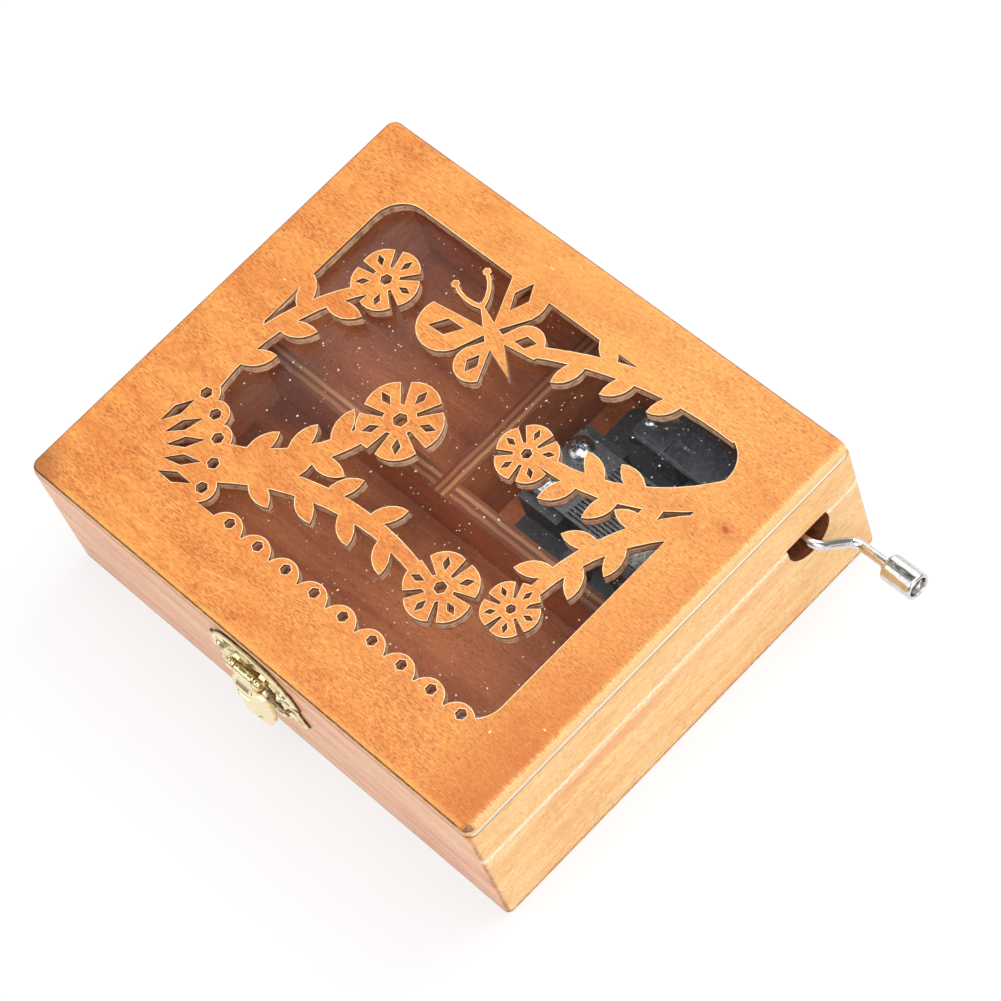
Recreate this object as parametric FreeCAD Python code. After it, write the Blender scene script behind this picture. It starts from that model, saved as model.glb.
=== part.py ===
"""Hand-cranked wooden music box with a fretwork lid, a divided case and a comb-and-cylinder movement.

Millimetres, +Z up. The origin is the middle of the case's footprint on the surface it stands on,
+X points to the crank side, -Y to the latch side. Every piece is one file in parts/.
"""
import FreeCAD
import Part
import math
import os

from FreeCAD import Vector

# Case and lid
WIDTH = 145.0
DEPTH = 118.5
WALL = 9.0
SEAM_Z = 27.0
SEAM_GAP = 0.15
LID_RAIL_TOP = 39.0
PANEL_THICKNESS = 3.0
CORNER_EASE = 1.6
RIM_EASE = 1.2
LID_EASE = 0.9
FOOT_EASE = 0.8
PANEL_CORNER = 2.5
PANEL_EASE = 1.3
BOARD_BOTTOM = 0.0
FLOOR_Z = 3.0

# Dividers of plywood, halved into each other
DIVIDER = 4.8
DIVIDER_TOP = 24.5
LONG_DIVIDER_Y = -1.0
SHORT_DIVIDER_X = -3.6

# Window, fretwork and pane
WINDOW_LEFT = -56.0
WINDOW_RIGHT = 57.0
WINDOW_FRONT = -41.0
WINDOW_BACK = 45.0
WINDOW_CORNER = 8.0
PANE_THICKNESS = 1.5
PANE_PLAY = 0.6
LEAF_ANGLE = 48.0
LAST_LEAF_SHARE = 0.74
LEAF_BELLY = 0.23
LEAF_BACK = 0.20
PETALS = 5

# Crank
CRANK_Y = 42.4
CRANK_Z = 23.0
WIRE_R = 1.25
RUNNING_FIT = 0.05
CRANK_OFFSET_Y = 8.6
CRANK_OFFSET_Z = -7.2
ARM_START_X = 74.3
ARM_END_X = 76.9
ARM_FIRST_BEND = 3.8
ARM_LAST_BEND = 2.6
KNOB_X = 86.6
KNOB_LENGTH = 8.8
KNOB_R = 3.35
KNOB_MOUTH_R = 2.45
KNOB_MOUTH_DEPTH = 2.6
KNOB_EASE = 0.8
KNOB_BORE_PLAY = 0.07
SHAFT_END_X = 33.9
COLLAR_R = 1.65
COLLAR_THICKNESS = 0.9
COLLAR_GAP = 0.15
RIVET_R = 1.9
RIVET_HEIGHT = 1.1
NOTCH_R = 6.4
NOTCH_Y = 42.5
NOTCH_Z = 25.3

# Worm drive: one start, meshing with a wheel on the cylinder's arbor
MODULE = 0.6
WHEEL_TEETH = 24
WORM_PITCH_R = 2.3
TOOTH_HEIGHT = 0.45
TOOTH_DEPTH = 0.6
WORM_LENGTH = 7.4
WORM_COLLAR = 0.6
WORM_STEPS = 12
WORM_TUNNEL_PLAY = 0.4
WHEEL_WIDTH = 3.2
WHEEL_RIM = 1.9
WHEEL_HUB_R = 2.2
WHEEL_DISH = 1.0
BACKLASH = 0.30
PRESSURE_SLOPE = math.tan(math.radians(20.0))

# Cylinder, comb and their frame
CYL_X = 42.3
BARREL_R = 6.3
BARREL_WALL = 0.9
BARREL_FRONT = 14.3
BARREL_LENGTH = 20.0
CORE_SHORT = 0.6
PIN_SIDE = 0.4
PIN_RISE = 0.5
TUNE_STEPS = 40
TUNE_REST = 2
ARBOR_R = 1.0
ARBOR_FRONT = 10.4
COMB_LEFT = 8.2
TOOTH_ROOT_X = 20.2
TOOTH_SHOULDER = (1.6, 0.9)
SHORTEST_GAP_START = 2.0
LONGEST_GAP_START = 0.6
COMB_TOP = 16.0
COMB_THICKNESS = 2.0
TOOTH_TIP_THICKNESS = 0.8
TIP_CLEARANCE = 0.15
NOTES = 18
NOTE_PITCH = 1.03
TOOTH_GAP = 0.40
COMB_CENTRE_Y = 24.3
COMB_SCREW_X = 11.9
COMB_SCREW_SPACING = 10.8
COMB_SCREW_R = 3.2
COMB_SCREW_HEIGHT = 1.9
COMB_SCREW_SHANK_R = 1.4
COMB_SCREW_LENGTH = 7.0
WEIGHT_LENGTH = 2.2
WEIGHT_SETBACK = 1.0
DEEPEST_WEIGHT = 1.5
WEIGHT_STEP = 0.12
BASE_LEFT = 7.5
BASE_RIGHT = 52.8
BASE_FRONT = 4.6
BASE_BACK = 49.6
BASE_PLATE_TOP = 5.2
BASE_CORNER = 3.0
PLATFORM_SPAN = (12.6, 36.0)
FRONT_POST = (11.3, 13.8, 19.6)
BACK_POST = (36.4, 38.8, 17.6)
POST_HALF_WIDTH = 5.0
POST_EASE = 1.2
FRONT_RIB = (3.0, 1.6, 9.4)
SIDE_RIB = (2.6, 9.0)
BOSS_R = 3.1
MOUNTING_BOSSES = ((14.2, 44.2, 9.0), (28.5, 9.0, 12.0), (47.4, 9.0, 9.0))
MOUNTING_SCREW_R = 1.45
MOUNTING_HEAD_R = 2.6
MOUNTING_HEAD_HEIGHT = 2.0
MOUNTING_SCREW_LENGTH = 6.6

# Moulded cover over the worm drive
HOUSING_TOP = 27.2
HOUSING_SKIN = 2.0
HOUSING_LEFT = 23.6
HOUSING_FRONT = 36.6
HOUSING_BACK = 48.6
HOUSING_CORNER = 2.0
HOUSING_EASE = 0.4
HOUSING_INSET = 0.6
HOUSING_FOOT = (32.0, 39.4)
HOUSING_BACK_WALL = 1.8
HOUSING_RIGHT_WALL = 2.4
LEFT_BEARING = (SHAFT_END_X, 36.6, 19.8)
BEARING_HALF = 3.0
POCKET = (33.4, 39.4, 37.4, 41.4)
POCKET_DEPTH = 1.2
HOUSING_SCREWS = ((26.0, 41.4), (29.4, 46.0))
HOUSING_SCREW_R = 0.9
HOUSING_HEAD_R = 1.5
HOUSING_HEAD_HEIGHT = 0.9
HOUSING_SCREW_BITE = 1.4

# Back hinges
HINGE_X = 45.0
HINGE_WIDTH = 16.0
HINGE_OUT = 1.7
KNUCKLE_R = 1.5
HINGE_PIN_R = 0.6
LEAF_THICKNESS = 0.8
LEAF_HEIGHT = 8.6
LEAF_SEAM_GAP = 0.12
LEAF_CORNER = 1.2
KNUCKLE_ROOM = 0.2
MIDDLE_KNUCKLE = 5.9
KNUCKLE_GAP = 0.12
HINGE_SCREW_OFFSETS = (-5.0, 5.0)
HINGE_SCREW_HEIGHT = 5.4
HINGE_SCREW_R = 0.7
HINGE_SCREW_HEAD_R = 1.35
HINGE_SCREW_LENGTH = 6.5

# Latch on the front
LATCH_X = 0.8
LATCH_PLATE = 0.9
LATCH_TOP = 40.4
LATCH_BOTTOM = 11.5
LATCH_HALF_WIDTH = 14.5
LATCH_EDGE_GAP = 0.6
NAIL_HEAD_R = 1.05
NAIL_HEAD_HEIGHT = 0.45
NAIL_R = 0.5
NAIL_LENGTH = 6.0
NAIL_PLACES = {"lid": (8.4, 35.6), "case": (10.2, 21.4)}
EYE = (10.6, 29.9, 1.0)
SCROLL_HOLE = (6.6, 23.4, 1.1)
CATCH_Z = 20.6
CATCH_R = 1.4
CATCH_GAP = 0.25
HASP_AXIS_OUT = 2.4
HASP_AXIS_Z = 31.6
HASP_KNUCKLE_R = 1.3
HASP_KNUCKLE_HALF = 3.05
EAR_SPAN = (3.3, 5.2)
HASP_PIN_R = 0.5
HASP_PIN_HALF = 5.6
HASP_BACK_OUT = 2.7
HASP_FRONT_OUT = 5.6
HASP_BELLY_R = 9.0
HASP_BELLY_Z = 21.6
HASP_CURVE_R = 40.0
UPPER_SLOT = (2.0, 25.0, 27.0)
LOWER_SLOT = (17.9, 18.9, 2.6)

# Small rods and screws, larger round details and the wire's bends are drawn with flat sides
FLAT_SIDES = 8
ROUND_SIDES = 16
CORE_SIDES = 24
PIN_SIDES = 3
BEND_SIDES = 20
BEND_SPANS = 5

# Curved outlines are drawn as chords, none with a sharper turn (radians) or a longer run than these
CHORD_ANGLE = 0.28
CHORD_LENGTH = 5.0

# Worked out from the above
HALF_W = WIDTH / 2
HALF_D = DEPTH / 2
INNER_X = HALF_W - WALL
INNER_Y = HALF_D - WALL
FRONT = -HALF_D
LID_BOTTOM = SEAM_Z + SEAM_GAP
LID_TOP = LID_RAIL_TOP + PANEL_THICKNESS
WHEEL_PITCH_R = MODULE * WHEEL_TEETH / 2
CYL_Z = CRANK_Z - WHEEL_PITCH_R - WORM_PITCH_R
HINGE_Y = HALF_D + HINGE_OUT
HINGE_Z = SEAM_Z + SEAM_GAP / 2
LONG_DIVIDER_BACK = LONG_DIVIDER_Y + DIVIDER
TIP_UNDERSIDE = COMB_TOP - TOOTH_TIP_THICKNESS
TIP_RADIUS = BARREL_R + PIN_RISE + TIP_CLEARANCE
TOOTH_TIP_X = CYL_X - math.sqrt(TIP_RADIUS ** 2 - (TIP_UNDERSIDE - CYL_Z) ** 2)
HASP_Y = FRONT - HASP_AXIS_OUT

X_AXIS = Vector(1, 0, 0)
Y_AXIS = Vector(0, 1, 0)
Z_AXIS = Vector(0, 0, 1)


def save(name, shape):
    """Write one piece, and stop if any of its solids is open or invalid."""
    for solid in shape.Solids:
        if not (solid.isClosed() and solid.isValid()):
            raise ValueError("%s holds a solid that is open or invalid" % name)
    if not shape.Solids:
        raise ValueError("%s holds no solid" % name)
    shape.exportStep("parts/%s.step" % name)
    print("%-26s solids %2d volume %9.2f" % (name, len(shape.Solids), shape.Volume))


def block(x0, x1, y0, y1, z0, z1):
    """A block between two corners."""
    return Part.makeBox(x1 - x0, y1 - y0, z1 - z0, Vector(x0, y0, z0))


def rod(start, axis, radius, length):
    """A round rod from start along axis."""
    return Part.makeCylinder(radius, length, start, axis)


def ring_of_corners(centre, axis, radius, sides):
    """The corners of a regular polygon round an axis, at radius from it."""
    across = Y_AXIS if abs(axis.y) < 0.5 else X_AXIS
    beside = axis.cross(across)
    corners = []
    for k in range(sides):
        angle = 2 * math.pi * (k + 0.5) / sides
        corners.append(centre + (across * math.cos(angle) + beside * math.sin(angle)) * radius)
    return corners


def faceted(loops):
    """A solid whose skin of flat triangles joins successive loops of corners, with flat ends."""
    faces = [Part.Face(Part.makePolygon(loop + loop[:1])) for loop in (loops[0], loops[-1])]
    for near, far in zip(loops, loops[1:]):
        for k in range(len(near)):
            faces.append(Part.Face(Part.makePolygon([near[k - 1], near[k], far[k], near[k - 1]])))
            faces.append(Part.Face(Part.makePolygon([near[k - 1], far[k], far[k - 1], near[k - 1]])))
    solid = Part.Solid(Part.makeShell(faces))
    if solid.Volume < 0:
        solid.reverse()
    return solid


def flat_sided(start, axis, radii, length, sides=FLAT_SIDES):
    """A rod with flat sides that tapers from the first of two radii to the second."""
    near = ring_of_corners(start, axis, radii[0], sides)
    far = ring_of_corners(start + axis * length, axis, radii[1], sides)
    return faceted([near, far]).removeSplitter()


def turned(start, axis, profile):
    """A round piece from (distance along the axis, radius) pairs joined by straight lines."""
    across = Z_AXIS if abs(axis.z) < 0.5 else X_AXIS
    points = [start] + [start + axis * d + across * r for d, r in profile] + [start + axis * profile[-1][0]]
    return Part.Face(Part.makePolygon(points + points[:1])).revolve(start, axis, 360)


def fuse_all(shapes):
    """One solid made of all the shapes, without inner seams."""
    return shapes[0].multiFuse(shapes[1:]).removeSplitter()


def rounded_plate(x0, x1, y0, y1, z0, z1, radius):
    """A flat plate whose four corners are rounded in plan."""
    plate = block(x0, x1, y0, y1, z0, z1)
    upright = [e for e in plate.Edges if abs(e.tangentAt(e.FirstParameter).z) > 0.99]
    return plate.makeFillet(radius, upright)


def level_edges(shape, z):
    """The outer edges of a shape that lie in the level z."""
    found = []
    for edge in shape.Edges:
        if all(abs(v.Z - z) < 1e-6 for v in edge.Vertexes) and abs(edge.CenterOfMass.z - z) < 1e-6:
            found.append(edge)
    return found


def prism_xz(points, y0, y1):
    """A straight-sided profile in the X-Z plane, carried from y0 to y1."""
    wire = Part.makePolygon([Vector(x, y0, z) for x, z in points] + [Vector(points[0][0], y0, points[0][1])])
    return Part.Face(wire).extrude(Vector(0, y1 - y0, 0))


def line_between(a, b):
    """A straight edge."""
    return Part.LineSegment(a, b).toShape()


def arc_through(a, b, c):
    """Straight edges along the arc through three points."""
    arc = Part.Arc(a, b, c)
    first, last = arc.FirstParameter, arc.LastParameter
    count = math.ceil(max((last - first) / CHORD_ANGLE, arc.length() / CHORD_LENGTH))
    points = [arc.value(first + (last - first) * k / count) for k in range(count + 1)]
    points[0], points[-1] = a, c
    return [line_between(p, q) for p, q in zip(points, points[1:])]


# Case and lid frame

def mitred_frame(bottom, top, bottom_ease, top_ease):
    """Four boards round a rectangle, mitred at the corners, with their outer edges eased."""
    outer = rounded_plate(-HALF_W, HALF_W, -HALF_D, HALF_D, bottom, top, CORNER_EASE)
    if top_ease:
        outer = outer.makeFillet(top_ease, level_edges(outer, top))
    if bottom_ease:
        outer = outer.makeChamfer(bottom_ease, level_edges(outer, bottom))
    ring = outer.cut(block(-INNER_X, INNER_X, -INNER_Y, INNER_Y, bottom - 1, top + 1))
    boards = {}
    corners = {
        "front": [(-HALF_W, -HALF_D), (HALF_W, -HALF_D), (INNER_X, -INNER_Y), (-INNER_X, -INNER_Y)],
        "back": [(HALF_W, HALF_D), (-HALF_W, HALF_D), (-INNER_X, INNER_Y), (INNER_X, INNER_Y)],
        "left": [(-HALF_W, HALF_D), (-HALF_W, -HALF_D), (-INNER_X, -INNER_Y), (-INNER_X, INNER_Y)],
        "right": [(HALF_W, -HALF_D), (HALF_W, HALF_D), (INNER_X, INNER_Y), (INNER_X, -INNER_Y)],
    }
    for side, plan in corners.items():
        loop = [Vector(x, y, bottom - 1) for x, y in plan]
        wedge = Part.Face(Part.makePolygon(loop + loop[:1])).extrude(Vector(0, 0, top - bottom + 2))
        boards[side] = ring.common(wedge)
    return boards


def countersunk_screw(head_centre, direction, head_r, shank_r, head_height, length):
    """A countersunk screw whose flat head face is centred on head_centre."""
    head = flat_sided(head_centre, direction, (head_r, shank_r), head_height)
    shank_start = head_centre + direction * head_height
    shank = flat_sided(shank_start, direction, (shank_r, shank_r), length - head_height)
    return fuse_all([head, shank])


def movement_screw_places():
    """Where the movement's screws come up through the bottom board."""
    return [Vector(boss[0], boss[1], BOARD_BOTTOM) for boss in MOUNTING_BOSSES]


def movement_screws():
    """Three countersunk screws that hold the movement down from below."""
    return [countersunk_screw(place, Z_AXIS, MOUNTING_HEAD_R, MOUNTING_SCREW_R, MOUNTING_HEAD_HEIGHT,
                              MOUNTING_SCREW_LENGTH) for place in movement_screw_places()]


def make_case():
    """Walls, bottom board and the two halved dividers."""
    walls = mitred_frame(0.0, SEAM_Z, FOOT_EASE, RIM_EASE)
    notch = rod(Vector(INNER_X - 1, NOTCH_Y, NOTCH_Z), X_AXIS, NOTCH_R, WALL + 2)
    walls["right"] = walls["right"].cut(notch)
    hinge_holes = hinge_screws(-1)
    for hole in hinge_holes:
        walls["back"] = walls["back"].cut(hole)
    for nail in latch_nails("case"):
        walls["front"] = walls["front"].cut(nail)
    for side, board in walls.items():
        save("case_%s_wall" % side, board)
    board = block(-INNER_X, INNER_X, -INNER_Y, INNER_Y, BOARD_BOTTOM, FLOOR_Z)
    for screw in movement_screws():
        board = board.cut(screw)
    save("bottom_board", board)
    half_height = (FLOOR_Z + DIVIDER_TOP) / 2
    left, right = SHORT_DIVIDER_X, SHORT_DIVIDER_X + DIVIDER
    long_divider = block(-INNER_X, INNER_X, LONG_DIVIDER_Y, LONG_DIVIDER_BACK, FLOOR_Z, DIVIDER_TOP)
    halving = block(left, right, LONG_DIVIDER_Y, LONG_DIVIDER_BACK, half_height, DIVIDER_TOP)
    save("long_divider", long_divider.cut(halving))
    short_divider = block(left, right, LONG_DIVIDER_BACK, INNER_Y, FLOOR_Z, DIVIDER_TOP)
    tongue = block(left, right, LONG_DIVIDER_Y, LONG_DIVIDER_BACK, half_height, DIVIDER_TOP)
    save("short_divider", fuse_all([short_divider, tongue]))


def make_lid():
    """Lid rails, the fretwork panel on them and the clear pane glued under it."""
    rails = mitred_frame(LID_BOTTOM, LID_RAIL_TOP, LID_EASE, 0)
    for hole in hinge_screws(1):
        rails["back"] = rails["back"].cut(hole)
    for nail in latch_nails("lid"):
        rails["front"] = rails["front"].cut(nail)
    for side, rail in rails.items():
        save("lid_%s_rail" % side, rail)
    panel = rounded_plate(-HALF_W, HALF_W, -HALF_D, HALF_D, LID_RAIL_TOP, LID_TOP, PANEL_CORNER)
    panel = panel.makeFillet(PANEL_EASE, level_edges(panel, LID_TOP))
    panel = panel.cut(window_opening())
    save("fretwork_panel", panel)
    pane = block(-INNER_X + PANE_PLAY, INNER_X - PANE_PLAY, -INNER_Y + PANE_PLAY, INNER_Y - PANE_PLAY,
                 LID_RAIL_TOP - PANE_THICKNESS, LID_RAIL_TOP)
    save("clear_pane", pane)


# Fretwork: sprays of leaves and five-petalled flowers grown out of the frame, and a butterfly

def plan_point(x, y):
    """A point in the fretwork's lower plane."""
    return Vector(x, y, LID_RAIL_TOP)


def heading(angle):
    """The unit vector at an angle in degrees, anticlockwise from +X."""
    return Vector(math.cos(math.radians(angle)), math.sin(math.radians(angle)), 0)


def sideways(direction):
    """The vector turned a quarter turn to the left."""
    return Vector(-direction.y, direction.x, 0)


def slab(edges):
    """A closed outline cut from the whole thickness of the panel."""
    return Part.Face(Part.Wire(edges)).extrude(Vector(0, 0, PANEL_THICKNESS))


def leaf(base, angle, length, side):
    """A leaf with a rounder belly on one side, pointed at both ends."""
    along = heading(angle)
    tip = base + along * length
    out = sideways(along) * side
    middle = base + along * (length * 0.5)
    belly = middle + out * (length * LEAF_BELLY)
    back = middle - out * (length * LEAF_BACK)
    return slab(arc_through(base, belly, tip) + arc_through(tip, back, base))


def straight_cut(centre, angle, reaches):
    """A straight-sided hole whose corners lie round a centre, at each reach in turn from an angle on."""
    step = 360.0 / len(reaches)
    corners = [centre + heading(angle + step * k) * reach for k, reach in enumerate(reaches)]
    return slab([line_between(a, b) for a, b in zip(corners, corners[1:] + corners[:1])])


def lozenge(centre, angle, length, width):
    """A lozenge-shaped hole with its long way along an angle."""
    return straight_cut(centre, angle, (length / 2, width / 2, length / 2, width / 2))


def hexagon(centre, angle, radius):
    """A six-sided hole."""
    return straight_cut(centre, angle, (radius,) * 6)


class Stem:
    """A tapering stem whose middle line is an arc from start to end, bulging sideways by bow."""

    def __init__(self, start, end, bow, base_width, tip_width):
        self.start = plan_point(*start)
        self.end = plan_point(*end)
        chord = self.end - self.start
        self.length = chord.Length
        self.left = sideways(chord * (1 / self.length))
        self.middle = (self.start + self.end) * 0.5 + self.left * bow
        self.base_width = base_width
        self.tip_width = tip_width
        self.arc = Part.Arc(self.start, self.middle, self.end)

    def at(self, share):
        """The point and the heading at a share of the way along."""
        first, last = self.arc.FirstParameter, self.arc.LastParameter
        parameter = first + (last - first) * share
        tangent = self.arc.tangent(parameter)[0]
        return self.arc.value(parameter), math.degrees(math.atan2(tangent.y, tangent.x))

    def flank(self, share, side):
        """The point on one side of the stem at a share of the way along."""
        point, angle = self.at(share)
        width = self.base_width + (self.tip_width - self.base_width) * share
        return point + sideways(heading(angle)) * (side * width / 2)

    def solid(self):
        """The stem's outline between its two flank arcs."""
        left = [self.flank(s, 1) for s in (0.0, 0.5, 1.0)]
        right = [self.flank(s, -1) for s in (0.0, 0.5, 1.0)]
        return slab([*arc_through(*left), line_between(left[2], right[2]),
                     *arc_through(right[2], right[1], right[0]), line_between(right[0], left[0])])

    def leaves(self, count, first_share, size, first_side):
        """Leaves set alternately left and right of the stem, evenly from a first share of its length."""
        grown = []
        side = first_side
        for k in range(count):
            point, angle = self.at(first_share + (LAST_LEAF_SHARE - first_share) * k / (count - 1))
            grown.append(leaf(point, angle + side * LEAF_ANGLE, size, side))
            side = -side
        return grown


def petal(middle, angle, inner, outer, half_angle, bulge):
    """A fan-shaped petal between two straight flanks, with a gently bulging end."""
    left = middle + heading(angle + half_angle) * outer
    right = middle + heading(angle - half_angle) * outer
    root_left = middle + heading(angle + half_angle) * inner
    root_right = middle + heading(angle - half_angle) * inner
    tip = middle + heading(angle) * (outer * bulge)
    return slab([line_between(root_right, right), *arc_through(right, tip, left),
                 line_between(left, root_left), line_between(root_left, root_right)])


def flower(centre, radius, turn):
    """Five fan-shaped petals, each pierced by a lozenge, about a middle with a six-sided hole."""
    middle = plan_point(*centre)
    solids = [hexagon(middle, turn, radius * 0.42)]
    holes = [hexagon(middle, turn, radius * 0.18)]
    for k in range(PETALS):
        angle = turn + 360.0 / PETALS * k
        solids.append(petal(middle, angle, radius * 0.25, radius * 0.94, 29.0, 1.06))
        holes.append(lozenge(middle + heading(angle) * (radius * 0.66), angle, radius * 0.42, radius * 0.20))
    return solids, holes


def wing(root, angle, length, side):
    """A butterfly's wing: a rounded sheet that widens from its root."""
    along = heading(angle)
    out = sideways(along) * side
    tip = root + along * length
    shoulder = root + along * (length * 0.86) + out * (length * 0.34)
    trailing = root + along * (length * 0.42) - out * (length * 0.32)
    return slab([line_between(root, shoulder), *arc_through(shoulder, tip, trailing),
                 line_between(trailing, root)])


def butterfly(centre, turn, span):
    """A butterfly: a slim body, two pairs of wings and pierced wing spots."""
    middle = plan_point(*centre)
    ahead = heading(turn)
    solids = [lozenge(middle, turn, span * 0.62, span * 0.12)]
    holes = []
    for side in (1, -1):
        shoulder = middle + ahead * (span * 0.06)
        fore_turn = turn + side * 58.0
        solids.append(wing(shoulder, fore_turn, span * 0.50, -side))
        fore_spot = shoulder + heading(fore_turn) * (span * 0.30)
        holes.append(lozenge(fore_spot, fore_turn, span * 0.24, span * 0.12))
        hind_turn = turn + side * 122.0
        solids.append(wing(middle, hind_turn, span * 0.34, side))
        hind_spot = middle + heading(hind_turn) * (span * 0.21)
        holes.append(lozenge(hind_spot, hind_turn, span * 0.15, span * 0.09))
    return solids, holes


def corner_fan(centre, radius, first_angle, last_angle, lobes):
    """A fan in a corner: blades with bulging ends, each with a long and a six-sided hole."""
    hub = plan_point(*centre)
    step = (last_angle - first_angle) / lobes
    solids = []
    holes = []
    for k in range(lobes):
        angle = first_angle + step * (k + 0.5)
        solids.append(petal(hub, angle, radius * 0.10, radius * 1.04, step * 0.52, 1.08))
        holes.append(hexagon(hub + heading(angle) * (radius * 0.99), angle, radius * 0.06))
        holes.append(lozenge(hub + heading(angle) * (radius * 0.70), angle, radius * 0.36, radius * 0.11))
    return solids, holes


def lace_edge(first, last, y, count):
    """A row of shallow lobes along the window's front edge, each with a six-sided hole."""
    solids = []
    holes = []
    pitch = (last - first) / count
    for k in range(count):
        x = first + pitch * (k + 0.5)
        solids.append(petal(plan_point(x, y - pitch), 90.0, pitch * 0.5, pitch * 1.10, 26.0, 1.24))
        holes.append(hexagon(plan_point(x, y + pitch * 0.10), 90.0, pitch * 0.15))
    return solids, holes


def antennae(centre, turn, span):
    """A butterfly's two curled feelers."""
    middle = plan_point(*centre)
    head = middle + heading(turn) * (span * 0.26)
    grown = []
    for side in (1, -1):
        tip = head + heading(turn + side * 24.0) * (span * 0.26)
        grown.append(Stem((head.x, head.y), (tip.x, tip.y), side * span * 0.03, 1.2, 0.9).solid())
        grown.append(hexagon(tip, turn, 1.1))
    return grown


def fretwork_motifs():
    """All the wood that crosses the window, and the piercings in it."""
    stems = [
        (Stem((-48.0, -33.0), (-14.0, 0.0), -7.0, 7.8, 3.4), 5, 0.32, 10.6, 1),
        (Stem((-40.0, -36.0), (24.0, -23.0), 8.0, 6.0, 3.0), 7, 0.20, 10.0, -1),
        (Stem((-53.0, -22.0), (-41.0, 24.0), 6.0, 5.4, 2.8), 5, 0.24, 10.4, -1),
        (Stem((62.0, 37.0), (19.0, 15.0), 6.0, 7.4, 3.0), 5, 0.34, 10.2, 1),
        (Stem((60.0, 24.0), (43.0, -14.0), -5.0, 6.0, 2.8), 5, 0.24, 10.0, -1),
        (Stem((52.0, 47.0), (-1.0, 33.0), -3.6, 6.0, 2.8), 5, 0.28, 9.6, 1),
    ]
    solids = []
    holes = []
    for stem, count, first_share, size, first_side in stems:
        solids.append(stem.solid())
        solids.extend(stem.leaves(count, first_share, size, first_side))
    flowers = [((-11.5, 2.5), 10.5, 20.0), ((26.0, -21.5), 9.0, 50.0), ((-41.0, 26.5), 8.5, 5.0),
               ((17.5, 14.0), 7.6, 35.0), ((42.0, -15.5), 7.0, 10.0)]
    for centre, radius, turn in flowers:
        petals, piercings = flower(centre, radius, turn)
        solids.extend(petals)
        holes.extend(piercings)
    butterfly_centre, butterfly_turn, butterfly_span = (-9.5, 30.5), 152.0, 36.0
    wings, spots = butterfly(butterfly_centre, butterfly_turn, butterfly_span)
    fan, fan_holes = corner_fan((-60.0, -45.0), 26.0, 9.0, 81.0, 5)
    lace, lace_holes = lace_edge(-28.0, 56.0, WINDOW_FRONT, 9)
    solids.extend(wings + antennae(butterfly_centre, butterfly_turn, butterfly_span) + fan + lace)
    holes.extend(spots + fan_holes + lace_holes)
    return solids, holes


def window_opening():
    """What is cut out of the panel: the rounded window less the motifs, plus their piercings."""
    window = rounded_plate(WINDOW_LEFT, WINDOW_RIGHT, WINDOW_FRONT, WINDOW_BACK,
                           LID_RAIL_TOP, LID_TOP, WINDOW_CORNER)
    solids, holes = fretwork_motifs()
    wood = solids[0].multiFuse(solids[1:])
    gaps = window.cut(wood)
    return gaps.multiFuse(holes)


# Back hinges

def hinge_screws(way):
    """Two countersunk screws in each leaf above (way 1) or below (way -1) the seam."""
    screws = []
    for x in (-HINGE_X, HINGE_X):
        for offset in HINGE_SCREW_OFFSETS:
            head = Vector(x + offset, HALF_D + LEAF_THICKNESS, HINGE_Z + way * HINGE_SCREW_HEIGHT)
            screws.append(countersunk_screw(head, -Y_AXIS, HINGE_SCREW_HEAD_R, HINGE_SCREW_R,
                                            LEAF_THICKNESS, HINGE_SCREW_LENGTH))
    return screws


def hinge_rod(x, span, radius):
    """A rod on one hinge's axis over a span counted from the hinge's middle."""
    return rod(Vector(x + span[0], HINGE_Y, HINGE_Z), X_AXIS, radius, span[1] - span[0])


def hinge_leaf(x, way):
    """A leaf with its knuckles: one long knuckle above the seam, two short ones below it."""
    near = HINGE_Z + way * LEAF_SEAM_GAP
    far = HINGE_Z + way * LEAF_HEIGHT
    half = HINGE_WIDTH / 2
    middle = MIDDLE_KNUCKLE / 2
    plate = block(x - half, x + half, HALF_D, HALF_D + LEAF_THICKNESS, min(near, far), max(near, far))
    far_corners = [e for e in plate.Edges
                   if abs(e.CenterOfMass.z - far) < 1e-6 and abs(e.tangentAt(e.FirstParameter).y) > 0.99]
    plate = plate.makeChamfer(LEAF_CORNER, far_corners)
    if way > 0:
        knuckles = [(-middle, middle)]
        recesses = [(-half, -middle), (middle, half)]
        bore = HINGE_PIN_R + RUNNING_FIT
    else:
        knuckles = [(-half, -middle - KNUCKLE_GAP), (middle + KNUCKLE_GAP, half)]
        recesses = [(-middle - KNUCKLE_GAP, middle + KNUCKLE_GAP)]
        bore = HINGE_PIN_R
    for span in recesses:
        plate = plate.cut(hinge_rod(x, span, KNUCKLE_R + KNUCKLE_ROOM))
    for span in knuckles:
        plate = plate.fuse(hinge_rod(x, span, KNUCKLE_R))
    plate = plate.cut(hinge_rod(x, (-half, half), bore))
    for screw in hinge_screws(way):
        plate = plate.cut(screw)
    return plate.removeSplitter()


def make_hinges():
    """Two small butt hinges screwed across the seam on the back."""
    for side, x in (("left", -HINGE_X), ("right", HINGE_X)):
        save("hinge_%s_case_leaf" % side, hinge_leaf(x, -1))
        save("hinge_%s_lid_leaf" % side, hinge_leaf(x, 1))
        save("hinge_%s_pin" % side, hinge_rod(x, (-HINGE_WIDTH / 2, HINGE_WIDTH / 2), HINGE_PIN_R))
    save("hinge_case_screws", Part.makeCompound(hinge_screws(-1)))
    save("hinge_lid_screws", Part.makeCompound(hinge_screws(1)))


# Latch

def front_point(x, z, out=0.0):
    """A point on the front, at x from the latch's middle, standing out by out."""
    return Vector(LATCH_X + x, FRONT - out, z)


def front_slab(edges, out0, out1):
    """A closed outline on the front, filled from out0 to out1 in front of the wood."""
    face = Part.Face(Part.Wire(edges))
    face.translate(Vector(0, -out0, 0))
    return face.extrude(Vector(0, -(out1 - out0), 0))


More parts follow.
